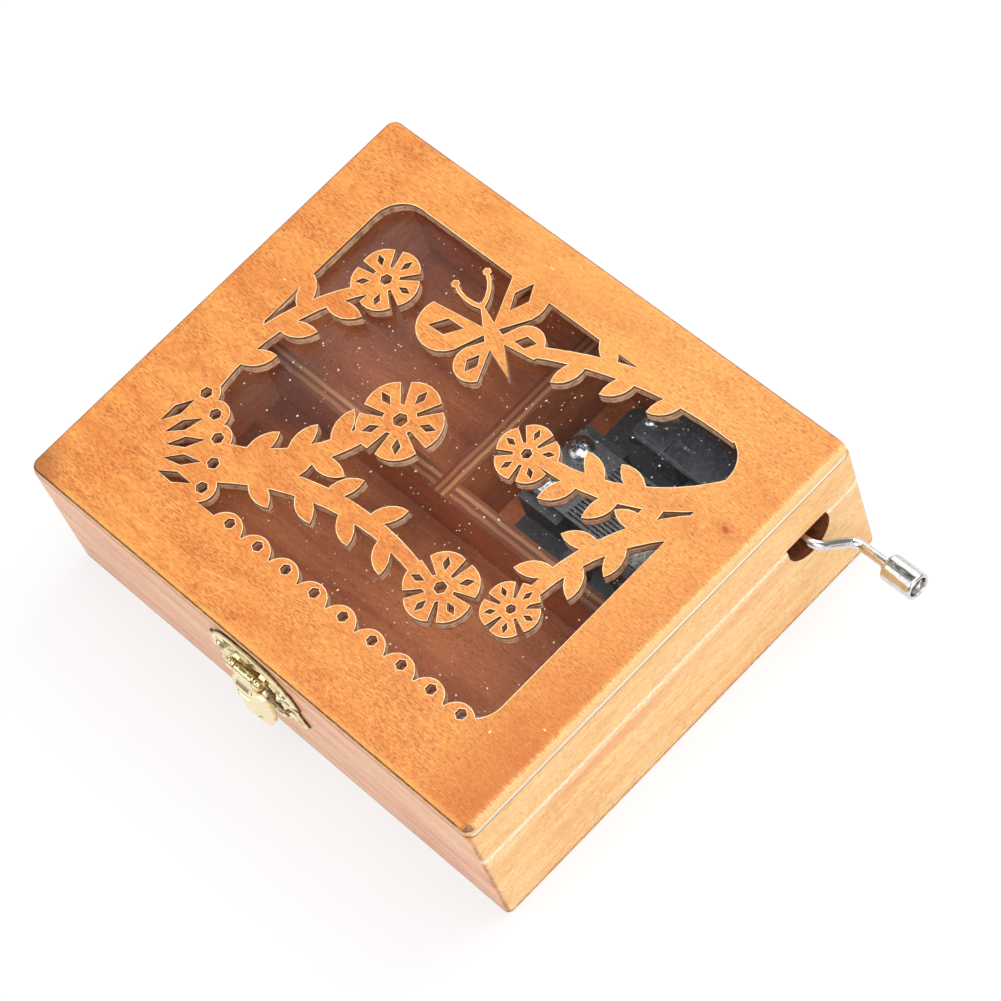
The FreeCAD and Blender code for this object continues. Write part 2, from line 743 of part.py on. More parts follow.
def mirrored_outline(steps):
    """A closed outline from steps on the right side, repeated mirrored on the left.

    Each step is (x, z) for a straight edge to that point, or (xm, zm, x, z) for an arc through
    (xm, zm). The first and the last point lie on the middle line.
    """
    edges = []
    x, z = steps[0]
    for step in steps[1:]:
        nx, nz = step[-2:]
        for side in (1, -1):
            a = front_point(side * x, z)
            b = front_point(side * nx, nz)
            if len(step) == 4:
                edges.extend(arc_through(a, front_point(side * step[0], step[1]), b))
            else:
                edges.append(line_between(a, b))
        x, z = nx, nz
    return Part.__sortEdges__(edges)


def latch_nails(part):
    """Two nails in the latch plate on the lid or on the case."""
    reach, height = NAIL_PLACES[part]
    nails = []
    for side in (-1, 1):
        seat = front_point(side * reach, height, LATCH_PLATE)
        head = flat_sided(seat, -Y_AXIS, (NAIL_HEAD_R, NAIL_HEAD_R * 0.6), NAIL_HEAD_HEIGHT)
        shank = flat_sided(seat, Y_AXIS, (NAIL_R, NAIL_R), NAIL_LENGTH + LATCH_PLATE)
        nails.append(fuse_all([head, shank]))
    return nails


def hasp_rod(span, radius):
    """A rod on the hasp's axis over a span counted from the latch's middle."""
    return rod(Vector(LATCH_X + span[0], HASP_Y, HASP_AXIS_Z), X_AXIS, radius, span[1] - span[0])


def through_hole(place, side):
    """A round hole through a plate, at (x, z, radius) on one side of the latch's middle."""
    x, z, radius = place
    return flat_sided(front_point(side * x, z, -1), -Y_AXIS, (radius, radius), LATCH_PLATE + 2, ROUND_SIDES)


def lid_plate_outline():
    """The lid plate: arched at the top, swept out at the sides, notched for the hasp at the seam."""
    w = LATCH_HALF_WIDTH
    lid_edge = LID_BOTTOM + 0.5
    return mirrored_outline([
        (0, LATCH_TOP), (7.6, 39.0, w - 2.6, 34.6), (w - 2.0, 33.9, w - 1.2, 33.9),
        (w - 0.9, 30.8, w, lid_edge), (w - 2.9, lid_edge + 0.7, w - 5.6, lid_edge),
        (5.4, lid_edge), (5.4, 29.6), (0, 29.6)])


def case_plate_outline():
    """The case plate: square under the seam, scalloped at the sides and drawn down to a rounded tip."""
    w = LATCH_HALF_WIDTH
    case_edge = SEAM_Z - LATCH_EDGE_GAP
    return mirrored_outline([
        (0, case_edge), (w - 1.0, case_edge), (w - 1.2, 23.6, w + 0.2, 20.4),
        (w - 2.6, 17.6, w - 5.6, 19.0), (w - 6.6, 16.4, w - 9.2, 15.4), (4.4, 12.4, 0, LATCH_BOTTOM)])


def make_latch():
    """Two ornamental plates, and a hasp hinged on the upper one."""
    lid_plate = front_slab(lid_plate_outline(), 0, LATCH_PLATE)
    ear_middle = sum(EAR_SPAN) / 2
    for side in (-1, 1):
        span = sorted(side * end for end in EAR_SPAN)
        x = LATCH_X + side * ear_middle
        half = (EAR_SPAN[1] - EAR_SPAN[0]) / 2
        web = block(x - half, x + half, HASP_Y, FRONT - LATCH_PLATE / 2, HASP_AXIS_Z - 0.2, HASP_AXIS_Z + 1.0)
        lid_plate = lid_plate.fuse([hasp_rod(span, HASP_KNUCKLE_R), web])
    lid_plate = lid_plate.cut(hasp_rod((-HASP_PIN_HALF, HASP_PIN_HALF), HASP_PIN_R))
    case_plate = front_slab(case_plate_outline(), 0, LATCH_PLATE)
    catch_length = HASP_BACK_OUT - LATCH_PLATE - CATCH_GAP
    catch = flat_sided(front_point(0, CATCH_Z, LATCH_PLATE), -Y_AXIS, (CATCH_R, CATCH_R), catch_length,
                       ROUND_SIDES)
    case_plate = case_plate.fuse(catch)
    for nail in latch_nails("lid"):
        lid_plate = lid_plate.cut(nail)
    for nail in latch_nails("case"):
        case_plate = case_plate.cut(nail)
    for side in (-1, 1):
        lid_plate = lid_plate.cut(through_hole(EYE, side))
        case_plate = case_plate.cut(through_hole(SCROLL_HOLE, side))
    save("latch_lid_plate", lid_plate.removeSplitter())
    save("latch_case_plate", case_plate.removeSplitter())
    save("latch_lid_nails", Part.makeCompound(latch_nails("lid")))
    save("latch_case_nails", Part.makeCompound(latch_nails("case")))
    save("latch_pin", hasp_rod((-HASP_PIN_HALF, HASP_PIN_HALF), HASP_PIN_R))
    save("latch_hasp", hasp())


def hasp():
    """The hasp: a bellied, waisted tongue with two slots, hung from a knuckle between the ears."""
    outline = mirrored_outline([
        (0, 30.6), (3.0, 30.6), (3.4, 28.6, 5.4, 26.6), (6.3, 22.0, 4.6, 16.6), (3.0, 13.0, 0, 12.4)])
    tongue = front_slab(outline, HASP_BACK_OUT, HASP_FRONT_OUT + 1)
    belly = rod(front_point(0, 0, HASP_FRONT_OUT - HASP_BELLY_R), Z_AXIS, HASP_BELLY_R, LID_TOP)
    curve_centre = front_point(-LATCH_HALF_WIDTH, HASP_BELLY_Z, HASP_FRONT_OUT - HASP_CURVE_R)
    curve = rod(curve_centre, X_AXIS, HASP_CURVE_R, 2 * LATCH_HALF_WIDTH)
    tongue = tongue.common(belly).common(curve)
    half, low, high = UPPER_SLOT
    upper_slot = block(LATCH_X - half, LATCH_X + half, FRONT - HASP_FRONT_OUT - 1, FRONT, low, high)
    outer_z, inner_z, radius = LOWER_SLOT
    outer = rod(front_point(0, outer_z), -Y_AXIS, radius, HASP_FRONT_OUT + 1)
    inner = rod(front_point(0, inner_z), -Y_AXIS, radius, HASP_FRONT_OUT + 1)
    tongue = tongue.cut(upper_slot).cut(outer.cut(inner))
    knuckle_span = (-HASP_KNUCKLE_HALF, HASP_KNUCKLE_HALF)
    neck = block(LATCH_X - 3.0, LATCH_X + 3.0, FRONT - 3.7, FRONT - HASP_BACK_OUT, 30.0, HASP_AXIS_Z)
    whole = fuse_all([tongue, neck, hasp_rod(knuckle_span, HASP_KNUCKLE_R)])
    return whole.cut(hasp_rod(knuckle_span, HASP_PIN_R + RUNNING_FIT)).removeSplitter()


# Crank

def turned_loop(loop, centre, axis, degrees):
    """A loop of corners turned about an axis through a centre."""
    turn = FreeCAD.Rotation(axis, degrees)
    return [centre + turn.multVec(corner - centre) for corner in loop]


def bent_rod(points, bends, radius):
    """A round rod along straight runs, with a bend of each given radius at each inner point."""
    pieces = []
    start = points[0]
    for i, bend in enumerate(bends):
        corner = points[i + 1]
        before = (corner - points[i]).normalize()
        after = (points[i + 2] - corner).normalize()
        turn = before.getAngle(after)
        setback = bend * math.tan(turn / 2)
        arc_start = corner - before * setback
        axis = before.cross(after).normalize()
        centre = arc_start + axis.cross(before).normalize() * bend
        pieces.append(rod(start, before, radius, (arc_start - start).Length))
        across = before.cross(axis).normalize() * radius
        upright = axis * radius
        round_angles = [2 * math.pi * (k + 0.5) / BEND_SIDES for k in range(BEND_SIDES)]
        loop = [arc_start + across * math.cos(a) + upright * math.sin(a) for a in round_angles]
        step = math.degrees(turn) / BEND_SPANS
        pieces.append(faceted([turned_loop(loop, centre, axis, step * k) for k in range(BEND_SPANS + 1)]))
        start = corner + after * setback
    last = points[-1] - start
    pieces.append(rod(start, Vector(last).normalize(), radius, last.Length))
    return pieces


def make_crank():
    """The bent wire crank with its pressed-on worm, and the knob that spins on its end."""
    arm_y = CRANK_Y + CRANK_OFFSET_Y
    arm_z = CRANK_Z + CRANK_OFFSET_Z
    seat = KNOB_X + KNOB_LENGTH - KNOB_MOUTH_DEPTH

    def on_arm(x):
        return Vector(x, arm_y, arm_z)

    path = [Vector(SHAFT_END_X, CRANK_Y, CRANK_Z), Vector(ARM_START_X, CRANK_Y, CRANK_Z),
            Vector(ARM_END_X, arm_y, arm_z), on_arm(seat + 2 * COLLAR_GAP)]
    pieces = bent_rod(path, (ARM_FIRST_BEND, ARM_LAST_BEND), WIRE_R)
    collar = flat_sided(on_arm(KNOB_X - COLLAR_GAP - COLLAR_THICKNESS), X_AXIS, (COLLAR_R, COLLAR_R),
                        COLLAR_THICKNESS, ROUND_SIDES)
    rivet = flat_sided(on_arm(seat + COLLAR_GAP), X_AXIS, (RIVET_R, RIVET_R), RIVET_HEIGHT, ROUND_SIDES)
    save("crank_wire", fuse_all(pieces + [collar, rivet]))
    sleeve = turned(on_arm(KNOB_X), X_AXIS, [(0, KNOB_R - KNOB_EASE), (KNOB_EASE, KNOB_R), (KNOB_LENGTH, KNOB_R)])
    sleeve = sleeve.cut(rod(on_arm(KNOB_X), X_AXIS, WIRE_R + KNOB_BORE_PLAY, KNOB_LENGTH))
    sleeve = sleeve.cut(rod(on_arm(seat), X_AXIS, KNOB_MOUTH_R, KNOB_MOUTH_DEPTH))
    save("knob_sleeve", sleeve)
    save("worm", worm())


def worm_thread():
    """The worm's single right-handed thread, as short straight lengths from section to section.

    A section at the angle a about the shaft stands at the distance a / 360 of the lead along it;
    above the middle of the worm the thread points straight up, so a gap faces the wheel.
    """
    lead = math.pi * MODULE
    sunk = WORM_PITCH_R - TOOTH_DEPTH * 1.3
    tip = WORM_PITCH_R + TOOTH_HEIGHT
    half_width = lead / 4 - BACKLASH / 4
    corners = [(sunk, half_width + (WORM_PITCH_R - sunk) * PRESSURE_SLOPE),
               (tip, half_width - TOOTH_HEIGHT * PRESSURE_SLOPE)]
    corners += [(radius, -offset) for radius, offset in reversed(corners)]
    count = math.ceil(WORM_LENGTH / lead * WORM_STEPS / 2)
    sections = []
    for k in range(-count, count + 1):
        angle = 2 * math.pi * k / WORM_STEPS
        middle = Vector(CYL_X + lead * k / WORM_STEPS, CRANK_Y, CRANK_Z)
        out = Y_AXIS * -math.sin(angle) + Z_AXIS * math.cos(angle)
        points = [middle + out * radius + X_AXIS * offset for radius, offset in corners]
        sections.append(points)
    return faceted(sections)


def worm():
    """A one-start worm on the crank shaft, between two collars."""
    left = CYL_X - WORM_LENGTH / 2
    start = Vector(left, CRANK_Y, CRANK_Z)
    core_r = WORM_PITCH_R - TOOTH_DEPTH
    core = flat_sided(start, X_AXIS, (core_r, core_r), WORM_LENGTH, WORM_STEPS)
    thread = worm_thread().common(rod(start, X_AXIS, WORM_PITCH_R + 2 * TOOTH_HEIGHT, WORM_LENGTH))
    collar_radii = (WORM_PITCH_R, WORM_PITCH_R)
    collars = [flat_sided(start + X_AXIS * shift, X_AXIS, collar_radii, WORM_COLLAR, WORM_STEPS)
               for shift in (0, WORM_LENGTH - WORM_COLLAR)]
    body = fuse_all([core, thread] + collars)
    return body.cut(rod(start, X_AXIS, WIRE_R, WORM_LENGTH))


def wheel_outline(y, turn):
    """The wheel's toothed outline at one depth, turned by a small angle for the slant of its teeth."""
    root = WHEEL_PITCH_R - TOOTH_DEPTH
    tip = WHEEL_PITCH_R + TOOTH_HEIGHT
    pitch_half = math.pi * MODULE / 4 - BACKLASH / 4
    half_root = (pitch_half + TOOTH_DEPTH * PRESSURE_SLOPE) / root
    half_tip = (pitch_half - TOOTH_HEIGHT * PRESSURE_SLOPE) / tip
    points = []
    for k in range(WHEEL_TEETH):
        middle = 2 * math.pi * k / WHEEL_TEETH + turn
        for radius, offset in ((root, -half_root), (tip, -half_tip), (tip, half_tip), (root, half_root)):
            angle = middle + offset
            points.append(Vector(CYL_X + radius * math.sin(angle), y, CYL_Z + radius * math.cos(angle)))
    return Part.makePolygon(points + points[:1])


def worm_wheel():
    """A wheel with slanted teeth on the cylinder's arbor, under the worm, dished on its front."""
    front = CRANK_Y - WHEEL_WIDTH / 2
    slant = MODULE / 2 / WORM_PITCH_R * WHEEL_WIDTH / 2 / WHEEL_PITCH_R
    outlines = [wheel_outline(front, -slant), wheel_outline(front + WHEEL_WIDTH, slant)]
    toothed = Part.makeLoft(outlines, True, True)
    centre = Vector(CYL_X, front, CYL_Z)
    rim_r = WHEEL_PITCH_R - WHEEL_RIM
    dish = flat_sided(centre, Y_AXIS, (rim_r, rim_r), WHEEL_DISH, WHEEL_TEETH)
    hub = flat_sided(centre, Y_AXIS, (WHEEL_HUB_R, WHEEL_HUB_R), WHEEL_DISH, ROUND_SIDES)
    return toothed.cut(dish.cut(hub)).cut(rod(centre, Y_AXIS, ARBOR_R, WHEEL_WIDTH))


# Cylinder

def note_y(note):
    """The middle of a note's track along the cylinder."""
    return COMB_CENTRE_Y + (note - (NOTES - 1) / 2) * NOTE_PITCH


def tune():
    """A made-up run of notes: a broken chord that climbs and falls, with a bass note on each bar."""
    played = []
    for step in range(TUNE_STEPS):
        rise = step % 10
        melody = 4 + 2 * (rise if rise < 6 else 10 - rise)
        played.append((step, min(melody, NOTES - 1)))
        if step % 4 == 0:
            played.append((step, (step // 4 * 2) % 4))
        if step % 4 == 2:
            played.append((step, min(melody + 3, NOTES - 1)))
    return sorted(set(played))


def make_cylinder():
    """The pinned barrel and the resin that fills it, on an arbor driven by the worm wheel."""
    front = Vector(CYL_X, BARREL_FRONT, CYL_Z)
    inner_r = BARREL_R - BARREL_WALL
    barrel = rod(front, Y_AXIS, BARREL_R, BARREL_LENGTH)
    bore = flat_sided(front, Y_AXIS, (inner_r, inner_r), BARREL_LENGTH, CORE_SIDES)
    save("cylinder_barrel", barrel.cut(bore))
    core_length = BARREL_LENGTH - 2 * CORE_SHORT
    core = flat_sided(front + Y_AXIS * CORE_SHORT, Y_AXIS, (inner_r, inner_r), core_length, CORE_SIDES)
    save("cylinder_core", core.cut(rod(front, Y_AXIS, ARBOR_R, BARREL_LENGTH)))
    pins = []
    for step, note in tune():
        angle = 2 * math.pi * (step + 0.5) / (TUNE_STEPS + TUNE_REST)
        out = Vector(math.sin(angle), 0, math.cos(angle))
        foot = Vector(CYL_X, note_y(note), CYL_Z) + out * BARREL_R
        pins.append(flat_sided(foot, out, (PIN_SIDE * 0.7, PIN_SIDE * 0.7), PIN_RISE, PIN_SIDES))
    save("cylinder_pins", Part.makeCompound(pins))
    arbor_end = CRANK_Y + WHEEL_WIDTH / 2 + ARBOR_R
    save("cylinder_arbor", rod(Vector(CYL_X, ARBOR_FRONT, CYL_Z), Y_AXIS, ARBOR_R, arbor_end - ARBOR_FRONT))
    save("worm_wheel", worm_wheel())


# Movement frame, comb and worm housing

def cross_recess(foot, head_r, top, depth):
    """The crossed slots in the top of a screw's head."""
    arm = head_r * 0.62
    slot = head_r * 0.12
    along_x = block(foot.x - arm, foot.x + arm, foot.y - slot, foot.y + slot, top - depth, top + 1)
    along_y = block(foot.x - slot, foot.x + slot, foot.y - arm, foot.y + arm, top - depth, top + 1)
    return along_x.fuse(along_y)


def comb_screw_feet():
    """Where the comb's two screws sit on it."""
    return [Vector(COMB_SCREW_X, COMB_CENTRE_Y + side * COMB_SCREW_SPACING / 2, COMB_TOP) for side in (-1, 1)]


def comb_screw_shank(foot):
    """The shank of a comb screw, down from its foot."""
    return flat_sided(foot, -Z_AXIS, (COMB_SCREW_SHANK_R, COMB_SCREW_SHANK_R), COMB_SCREW_LENGTH)


def comb_screws():
    """Two pan-head screws with crossed slots that clamp the comb."""
    screws = []
    for foot in comb_screw_feet():
        crown = COMB_SCREW_HEIGHT * 0.6
        rim = flat_sided(foot, Z_AXIS, (COMB_SCREW_R, COMB_SCREW_R), crown, ROUND_SIDES)
        top = flat_sided(foot + Z_AXIS * crown, Z_AXIS, (COMB_SCREW_R, COMB_SCREW_R - crown * 0.5),
                         COMB_SCREW_HEIGHT - crown, ROUND_SIDES)
        head = fuse_all([rim, top, comb_screw_shank(foot)])
        screws.append(head.cut(cross_recess(foot, COMB_SCREW_R, foot.z + COMB_SCREW_HEIGHT, crown)))
    return screws


def make_comb():
    """The steel comb: a clamped bar and graded teeth over the cylinder, with weights under the low notes."""
    y0 = COMB_CENTRE_Y - NOTES * NOTE_PITCH / 2
    y1 = COMB_CENTRE_Y + NOTES * NOTE_PITCH / 2
    bottom = COMB_TOP - COMB_THICKNESS
    shoulder_x = TOOTH_ROOT_X + TOOTH_SHOULDER[0]
    shoulder_z = bottom + TOOTH_SHOULDER[1]
    plate = prism_xz([(COMB_LEFT, bottom), (TOOTH_ROOT_X, bottom), (shoulder_x, shoulder_z),
                      (TOOTH_TIP_X, TIP_UNDERSIDE), (TOOTH_TIP_X, COMB_TOP), (COMB_LEFT, COMB_TOP)], y0, y1)
    for gap in range(1, NOTES):
        y = y0 + gap * NOTE_PITCH
        growth = (SHORTEST_GAP_START - LONGEST_GAP_START) * gap / NOTES
        root = TOOTH_ROOT_X + LONGEST_GAP_START + growth
        plate = plate.cut(block(root, TOOTH_TIP_X, y - TOOTH_GAP / 2, y + TOOTH_GAP / 2, bottom, COMB_TOP))
    for foot in comb_screw_feet():
        plate = plate.cut(comb_screw_shank(foot))
    save("comb", plate)
    save("comb_screws", Part.makeCompound(comb_screws()))
    weights = [comb_weight(note, shoulder_x, shoulder_z) for note in range(NOTES // 2)]
    save("comb_weights", Part.makeCompound(weights))


def comb_weight(note, shoulder_x, shoulder_z):
    """The lead weight under one low tooth, deeper the lower the note; its top follows the tooth's slope."""
    slope = (TIP_UNDERSIDE - shoulder_z) / (TOOTH_TIP_X - shoulder_x)
    drop = DEEPEST_WEIGHT - WEIGHT_STEP * note
    half = (NOTE_PITCH - TOOTH_GAP) / 2
    y = note_y(note)
    right = TOOTH_TIP_X - WEIGHT_SETBACK
    left = right - WEIGHT_LENGTH
    left_top = TIP_UNDERSIDE - slope * (TOOTH_TIP_X - left)
    right_top = TIP_UNDERSIDE - slope * (TOOTH_TIP_X - right)
    profile = [(left, left_top - drop), (right, right_top - drop), (right, right_top), (left, left_top)]
    return prism_xz(profile, y - half, y + half)


def bearing_post(post):
    """An upright that carries the cylinder's arbor, from (front, back, top)."""
    front, back, top = post
    upright = block(CYL_X - POST_HALF_WIDTH, CYL_X + POST_HALF_WIDTH, front, back, BASE_PLATE_TOP, top)
    upper = [e for e in upright.Edges
             if abs(e.CenterOfMass.z - top) < 1e-6 and abs(e.tangentAt(e.FirstParameter).y) > 0.99]
    return upright.makeChamfer(POST_EASE, upper)


def make_movement_base():
    """The cast frame: base plate, comb platform, two bearing posts, ribs and screw bosses."""
    rooted = BASE_PLATE_TOP - 1
    plate = rounded_plate(BASE_LEFT, BASE_RIGHT, BASE_FRONT, BASE_BACK, FLOOR_Z, BASE_PLATE_TOP, BASE_CORNER)
    platform_top = COMB_TOP - COMB_THICKNESS
    platform = block(BASE_LEFT, TOOTH_ROOT_X, PLATFORM_SPAN[0], PLATFORM_SPAN[1], rooted, platform_top)
    rib_inset, rib_thickness, rib_top = FRONT_RIB
    front_rib = block(BASE_LEFT + rib_inset, BASE_RIGHT - rib_inset, BASE_FRONT, BASE_FRONT + rib_thickness,
                      rooted, rib_top)
    side_thickness, side_top = SIDE_RIB
    side_rib = block(CYL_X + POST_HALF_WIDTH, CYL_X + POST_HALF_WIDTH + side_thickness, FRONT_POST[0],
                     BACK_POST[1], rooted, side_top)
    parts = [plate, platform, front_rib, side_rib, bearing_post(FRONT_POST), bearing_post(BACK_POST)]
    for x, y, top in MOUNTING_BOSSES:
        parts.append(flat_sided(Vector(x, y, rooted), Z_AXIS, (BOSS_R, BOSS_R), top - rooted, ROUND_SIDES))
    base = fuse_all(parts)
    arbor_line = Vector(CYL_X, BASE_FRONT, CYL_Z)
    base = base.cut(rod(arbor_line, Y_AXIS, ARBOR_R + RUNNING_FIT, BASE_BACK - BASE_FRONT))
    for foot in comb_screw_feet():
        base = base.cut(comb_screw_shank(foot))
    for screw in movement_screws() + housing_screws():
        base = base.cut(screw)
    save("movement_base", base.removeSplitter())


def housing_screws():
    """Two small pan-head screws down through the housing's foot into the base plate."""
    screws = []
    for x, y in HOUSING_SCREWS:
        foot = Vector(x, y, HOUSING_TOP)
        shank_length = HOUSING_TOP - BASE_PLATE_TOP + HOUSING_SCREW_BITE
        head = flat_sided(foot, Z_AXIS, (HOUSING_HEAD_R, HOUSING_HEAD_R * 0.8), HOUSING_HEAD_HEIGHT)
        shank = flat_sided(foot, -Z_AXIS, (HOUSING_SCREW_R, HOUSING_SCREW_R), shank_length)
        screws.append(fuse_all([head, shank]))
    return screws


def make_worm_housing():
    """The moulded cover over the worm drive: a top plate on a foot, a back wall and two shaft bearings."""
    under = HOUSING_TOP - HOUSING_SKIN
    left = HOUSING_LEFT + HOUSING_INSET
    back = HOUSING_BACK
    right = BASE_RIGHT
    top_plate = rounded_plate(HOUSING_LEFT, right, HOUSING_FRONT, back, under, HOUSING_TOP, HOUSING_CORNER)
    top_plate = top_plate.makeChamfer(HOUSING_EASE, level_edges(top_plate, HOUSING_TOP))
    foot = block(left, HOUSING_FOOT[0], HOUSING_FOOT[1], back, BASE_PLATE_TOP, under)
    back_wall = block(left, right - HOUSING_INSET, back - HOUSING_BACK_WALL, back, BASE_PLATE_TOP, under)
    right_wall = block(right - HOUSING_RIGHT_WALL, right, CRANK_Y - BEARING_HALF - 1, back - HOUSING_INSET,
                       BASE_PLATE_TOP, under)
    bearing = block(LEFT_BEARING[0], LEFT_BEARING[1], CRANK_Y - BEARING_HALF, CRANK_Y + BEARING_HALF,
                    LEFT_BEARING[2], under)
    housing = fuse_all([top_plate, foot, back_wall, right_wall, bearing])
    housing = housing.cut(block(*POCKET, HOUSING_TOP - POCKET_DEPTH, HOUSING_TOP))
    shaft_line = Vector(SHAFT_END_X, CRANK_Y, CRANK_Z)
    housing = housing.cut(rod(shaft_line, X_AXIS, WIRE_R + RUNNING_FIT, right - SHAFT_END_X))
    tunnel_start = Vector(CYL_X - WORM_LENGTH / 2 - WORM_TUNNEL_PLAY, CRANK_Y, CRANK_Z)
    tunnel_r = WORM_PITCH_R + TOOTH_HEIGHT + WORM_TUNNEL_PLAY
    housing = housing.cut(rod(tunnel_start, X_AXIS, tunnel_r, WORM_LENGTH + 2 * WORM_TUNNEL_PLAY))
    for screw in housing_screws():
        housing = housing.cut(screw)
    save("worm_housing", housing.removeSplitter())
    save("housing_screws", Part.makeCompound(housing_screws()))


def main():
    """Build every piece."""
    os.makedirs("parts", exist_ok=True)
    make_case()
    make_lid()
    make_hinges()
    make_latch()
    make_crank()
    make_cylinder()
    make_comb()
    make_movement_base()
    save("movement_screws", Part.makeCompound(movement_screws()))
    make_worm_housing()


main()
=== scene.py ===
"""Looks of a hand-cranked wooden music box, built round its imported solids.

The solids' frame is kept: +X to the crank side, -Y to the latch side, +Z up, with the origin on the
table under the middle of the case. Shapes are in millimetres and go into their meshes in metres.
"""
import logging
import math
from dataclasses import dataclass, field
from enum import Enum
from functools import reduce
from typing import ClassVar, Sequence

import bmesh
import bpy
import numpy as np
from mathutils import Matrix


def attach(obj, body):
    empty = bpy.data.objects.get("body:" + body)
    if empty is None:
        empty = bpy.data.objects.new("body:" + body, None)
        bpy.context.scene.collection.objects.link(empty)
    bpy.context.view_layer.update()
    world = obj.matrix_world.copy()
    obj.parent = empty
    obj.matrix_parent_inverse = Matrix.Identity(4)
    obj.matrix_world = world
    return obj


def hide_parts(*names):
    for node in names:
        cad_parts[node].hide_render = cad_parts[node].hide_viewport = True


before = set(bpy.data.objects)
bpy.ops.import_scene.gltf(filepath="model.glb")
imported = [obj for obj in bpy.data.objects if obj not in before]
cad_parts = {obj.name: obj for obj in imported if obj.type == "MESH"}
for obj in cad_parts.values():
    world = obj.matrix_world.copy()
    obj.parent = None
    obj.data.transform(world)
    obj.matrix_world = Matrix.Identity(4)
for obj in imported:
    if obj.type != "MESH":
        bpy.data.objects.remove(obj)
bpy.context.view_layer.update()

MM = 0.001
log = logging.getLogger("music_box")

Colour = tuple[float, float, float]
Point = tuple[float, float, float]
Pair = tuple[float, float]
Array = np.ndarray
Node = bpy.types.Node
Socket = bpy.types.NodeSocket
Outputs = bpy.types.bpy_prop_collection
Material = bpy.types.Material

# Outer sizes of the wooden case
HALF_WIDTH = 72.5
HALF_DEPTH = 59.25
INNER_X = 63.5
INNER_Y = 50.25
PANEL_BOTTOM = 39.0
PANEL_TOP = 42.0
WINDOW = (-56.0, 57.0, -41.0, 45.0)

RIGHT = (1.0, 0.0, 0.0)
BACK = (0.0, 1.0, 0.0)
FRONT = (0.0, -1.0, 0.0)
UP = (0.0, 0.0, 1.0)
ARC_STEPS = 24
OUTLINE_ARC_STEPS = 16
PLAIN_RELIEF = 0.8


def srgb(*eight_bit: int) -> Colour:
    """The linear colour of red, green and blue from 0 to 255."""
    shares = np.array(eight_bit) / 255.0
    return tuple(np.where(shares <= 0.04045, shares / 12.92, ((shares + 0.055) / 1.055) ** 2.4).tolist())


class Axis(Enum):
    """The level axes of the frame, as the index of a coordinate."""

    X = 0
    Y = 1


class Body(Enum):
    """The bodies that a piece can ride on."""

    BOX = "box"
    LID = "lid"
    HASP = "hasp"
    CRANK = "crank"
    KNOB = "knob"


# Shapes worked out with numpy

@dataclass
class Shape:
    """A surface: its points, its faces, and how far each point stands in relief."""

    points: Array
    faces: tuple[Array, ...]
    relief: Array | None = None

    @staticmethod
    def joined(shapes: Sequence["Shape"]) -> "Shape":
        """Several shapes as one.

        Args:
            shapes: The shapes.

        Returns:
            One shape with all their points and faces.
        """
        starts = np.cumsum([0] + [len(s.points) for s in shapes[:-1]])
        faces = tuple(rows + start for s, start in zip(shapes, starts) for rows in s.faces)
        relief = [np.full(len(s.points), PLAIN_RELIEF) if s.relief is None else s.relief for s in shapes]
        return Shape(np.concatenate([s.points for s in shapes]), faces, np.concatenate(relief))


def unit(vector: Array) -> Array:
    """A vector, or each row of several, at a length of 1."""
    return vector / np.linalg.norm(vector, axis=-1, keepdims=True)


def grid_quads(rows: int, columns: int, wrapped: bool = False) -> Array:
    """Quads of a grid: a point, its right neighbour and the two after them in the next row.

    Args:
        rows: Rows of points.
        columns: Points in a row.
        wrapped: Whether a row's last point joins its first.

    Returns:
        Four indices for each quad.
    """
    index = np.arange(rows * columns).reshape(rows, columns)
    if wrapped:
        index = np.concatenate([index, index[:, :1]], axis=1)
    corners = index[:-1, :-1], index[:-1, 1:], index[1:, 1:], index[1:, :-1]
    return np.stack(corners, axis=-1).reshape(-1, 4)


def square_to(axis: Array) -> tuple[Array, Array]:
    """Two unit vectors square to a unit vector and to each other."""
    across = unit(np.cross(UP if abs(axis[2]) < 0.5 else RIGHT, axis))
    return across, np.cross(axis, across)


def turned(profile: Sequence[Pair], start: Point, axis: Point, steps: int) -> Shape:
    """A round piece: point(s, t) = start + along(s) * axis + radius(s) * (cos t * across + sin t * beside).

    Args:
        profile: Pairs of distance along the axis and radius, 0 where the piece is closed on its axis.
        start: Where the axis starts.
        axis: Its direction.
        steps: Points in each ring.

    Returns:
        The shape.
    """
    pairs, line = np.array(profile, float), np.array(axis)
    across, beside = square_to(line)
    angle = np.linspace(0.0, 2 * np.pi, steps, endpoint=False)[:, None]
    ring = np.cos(angle) * across + np.sin(angle) * beside
    points = np.array(start) + pairs[:, 0, None, None] * line + pairs[:, 1, None, None] * ring[None]
    return Shape(points.reshape(-1, 3), (grid_quads(len(pairs), steps, True),))


def swept(path: Array, radii: Array, normal: Point, steps: int, flatten: float = 1.0) -> Shape:
    """A rod along a path in one plane, closed at both ends.

    point(s, t) = path(s) + radius(s) * (flatten * cos t * normal + sin t * (tangent(s) x normal))

    Args:
        path: The points of the middle line.
        radii: The radius at each point.
        normal: The direction square to the path's plane.
        steps: Points in each ring.
        flatten: Thickness along the normal, as a share of the width.

    Returns:
        The shape.
    """
    square = unit(np.array(normal))
    beside = np.cross(unit(np.gradient(path, axis=0)), square)
    rows = np.concatenate([[0], np.arange(len(path)), [len(path) - 1]])
    reach = np.concatenate([[0.0], radii, [0.0]])
    angle = np.linspace(0.0, 2 * np.pi, steps, endpoint=False)[None, :, None]
    ring = flatten * np.cos(angle) * square + np.sin(angle) * beside[rows][:, None]
    points = path[rows][:, None] + reach[:, None, None] * ring
    return Shape(points.reshape(-1, 3), (grid_quads(len(rows), steps, True),))


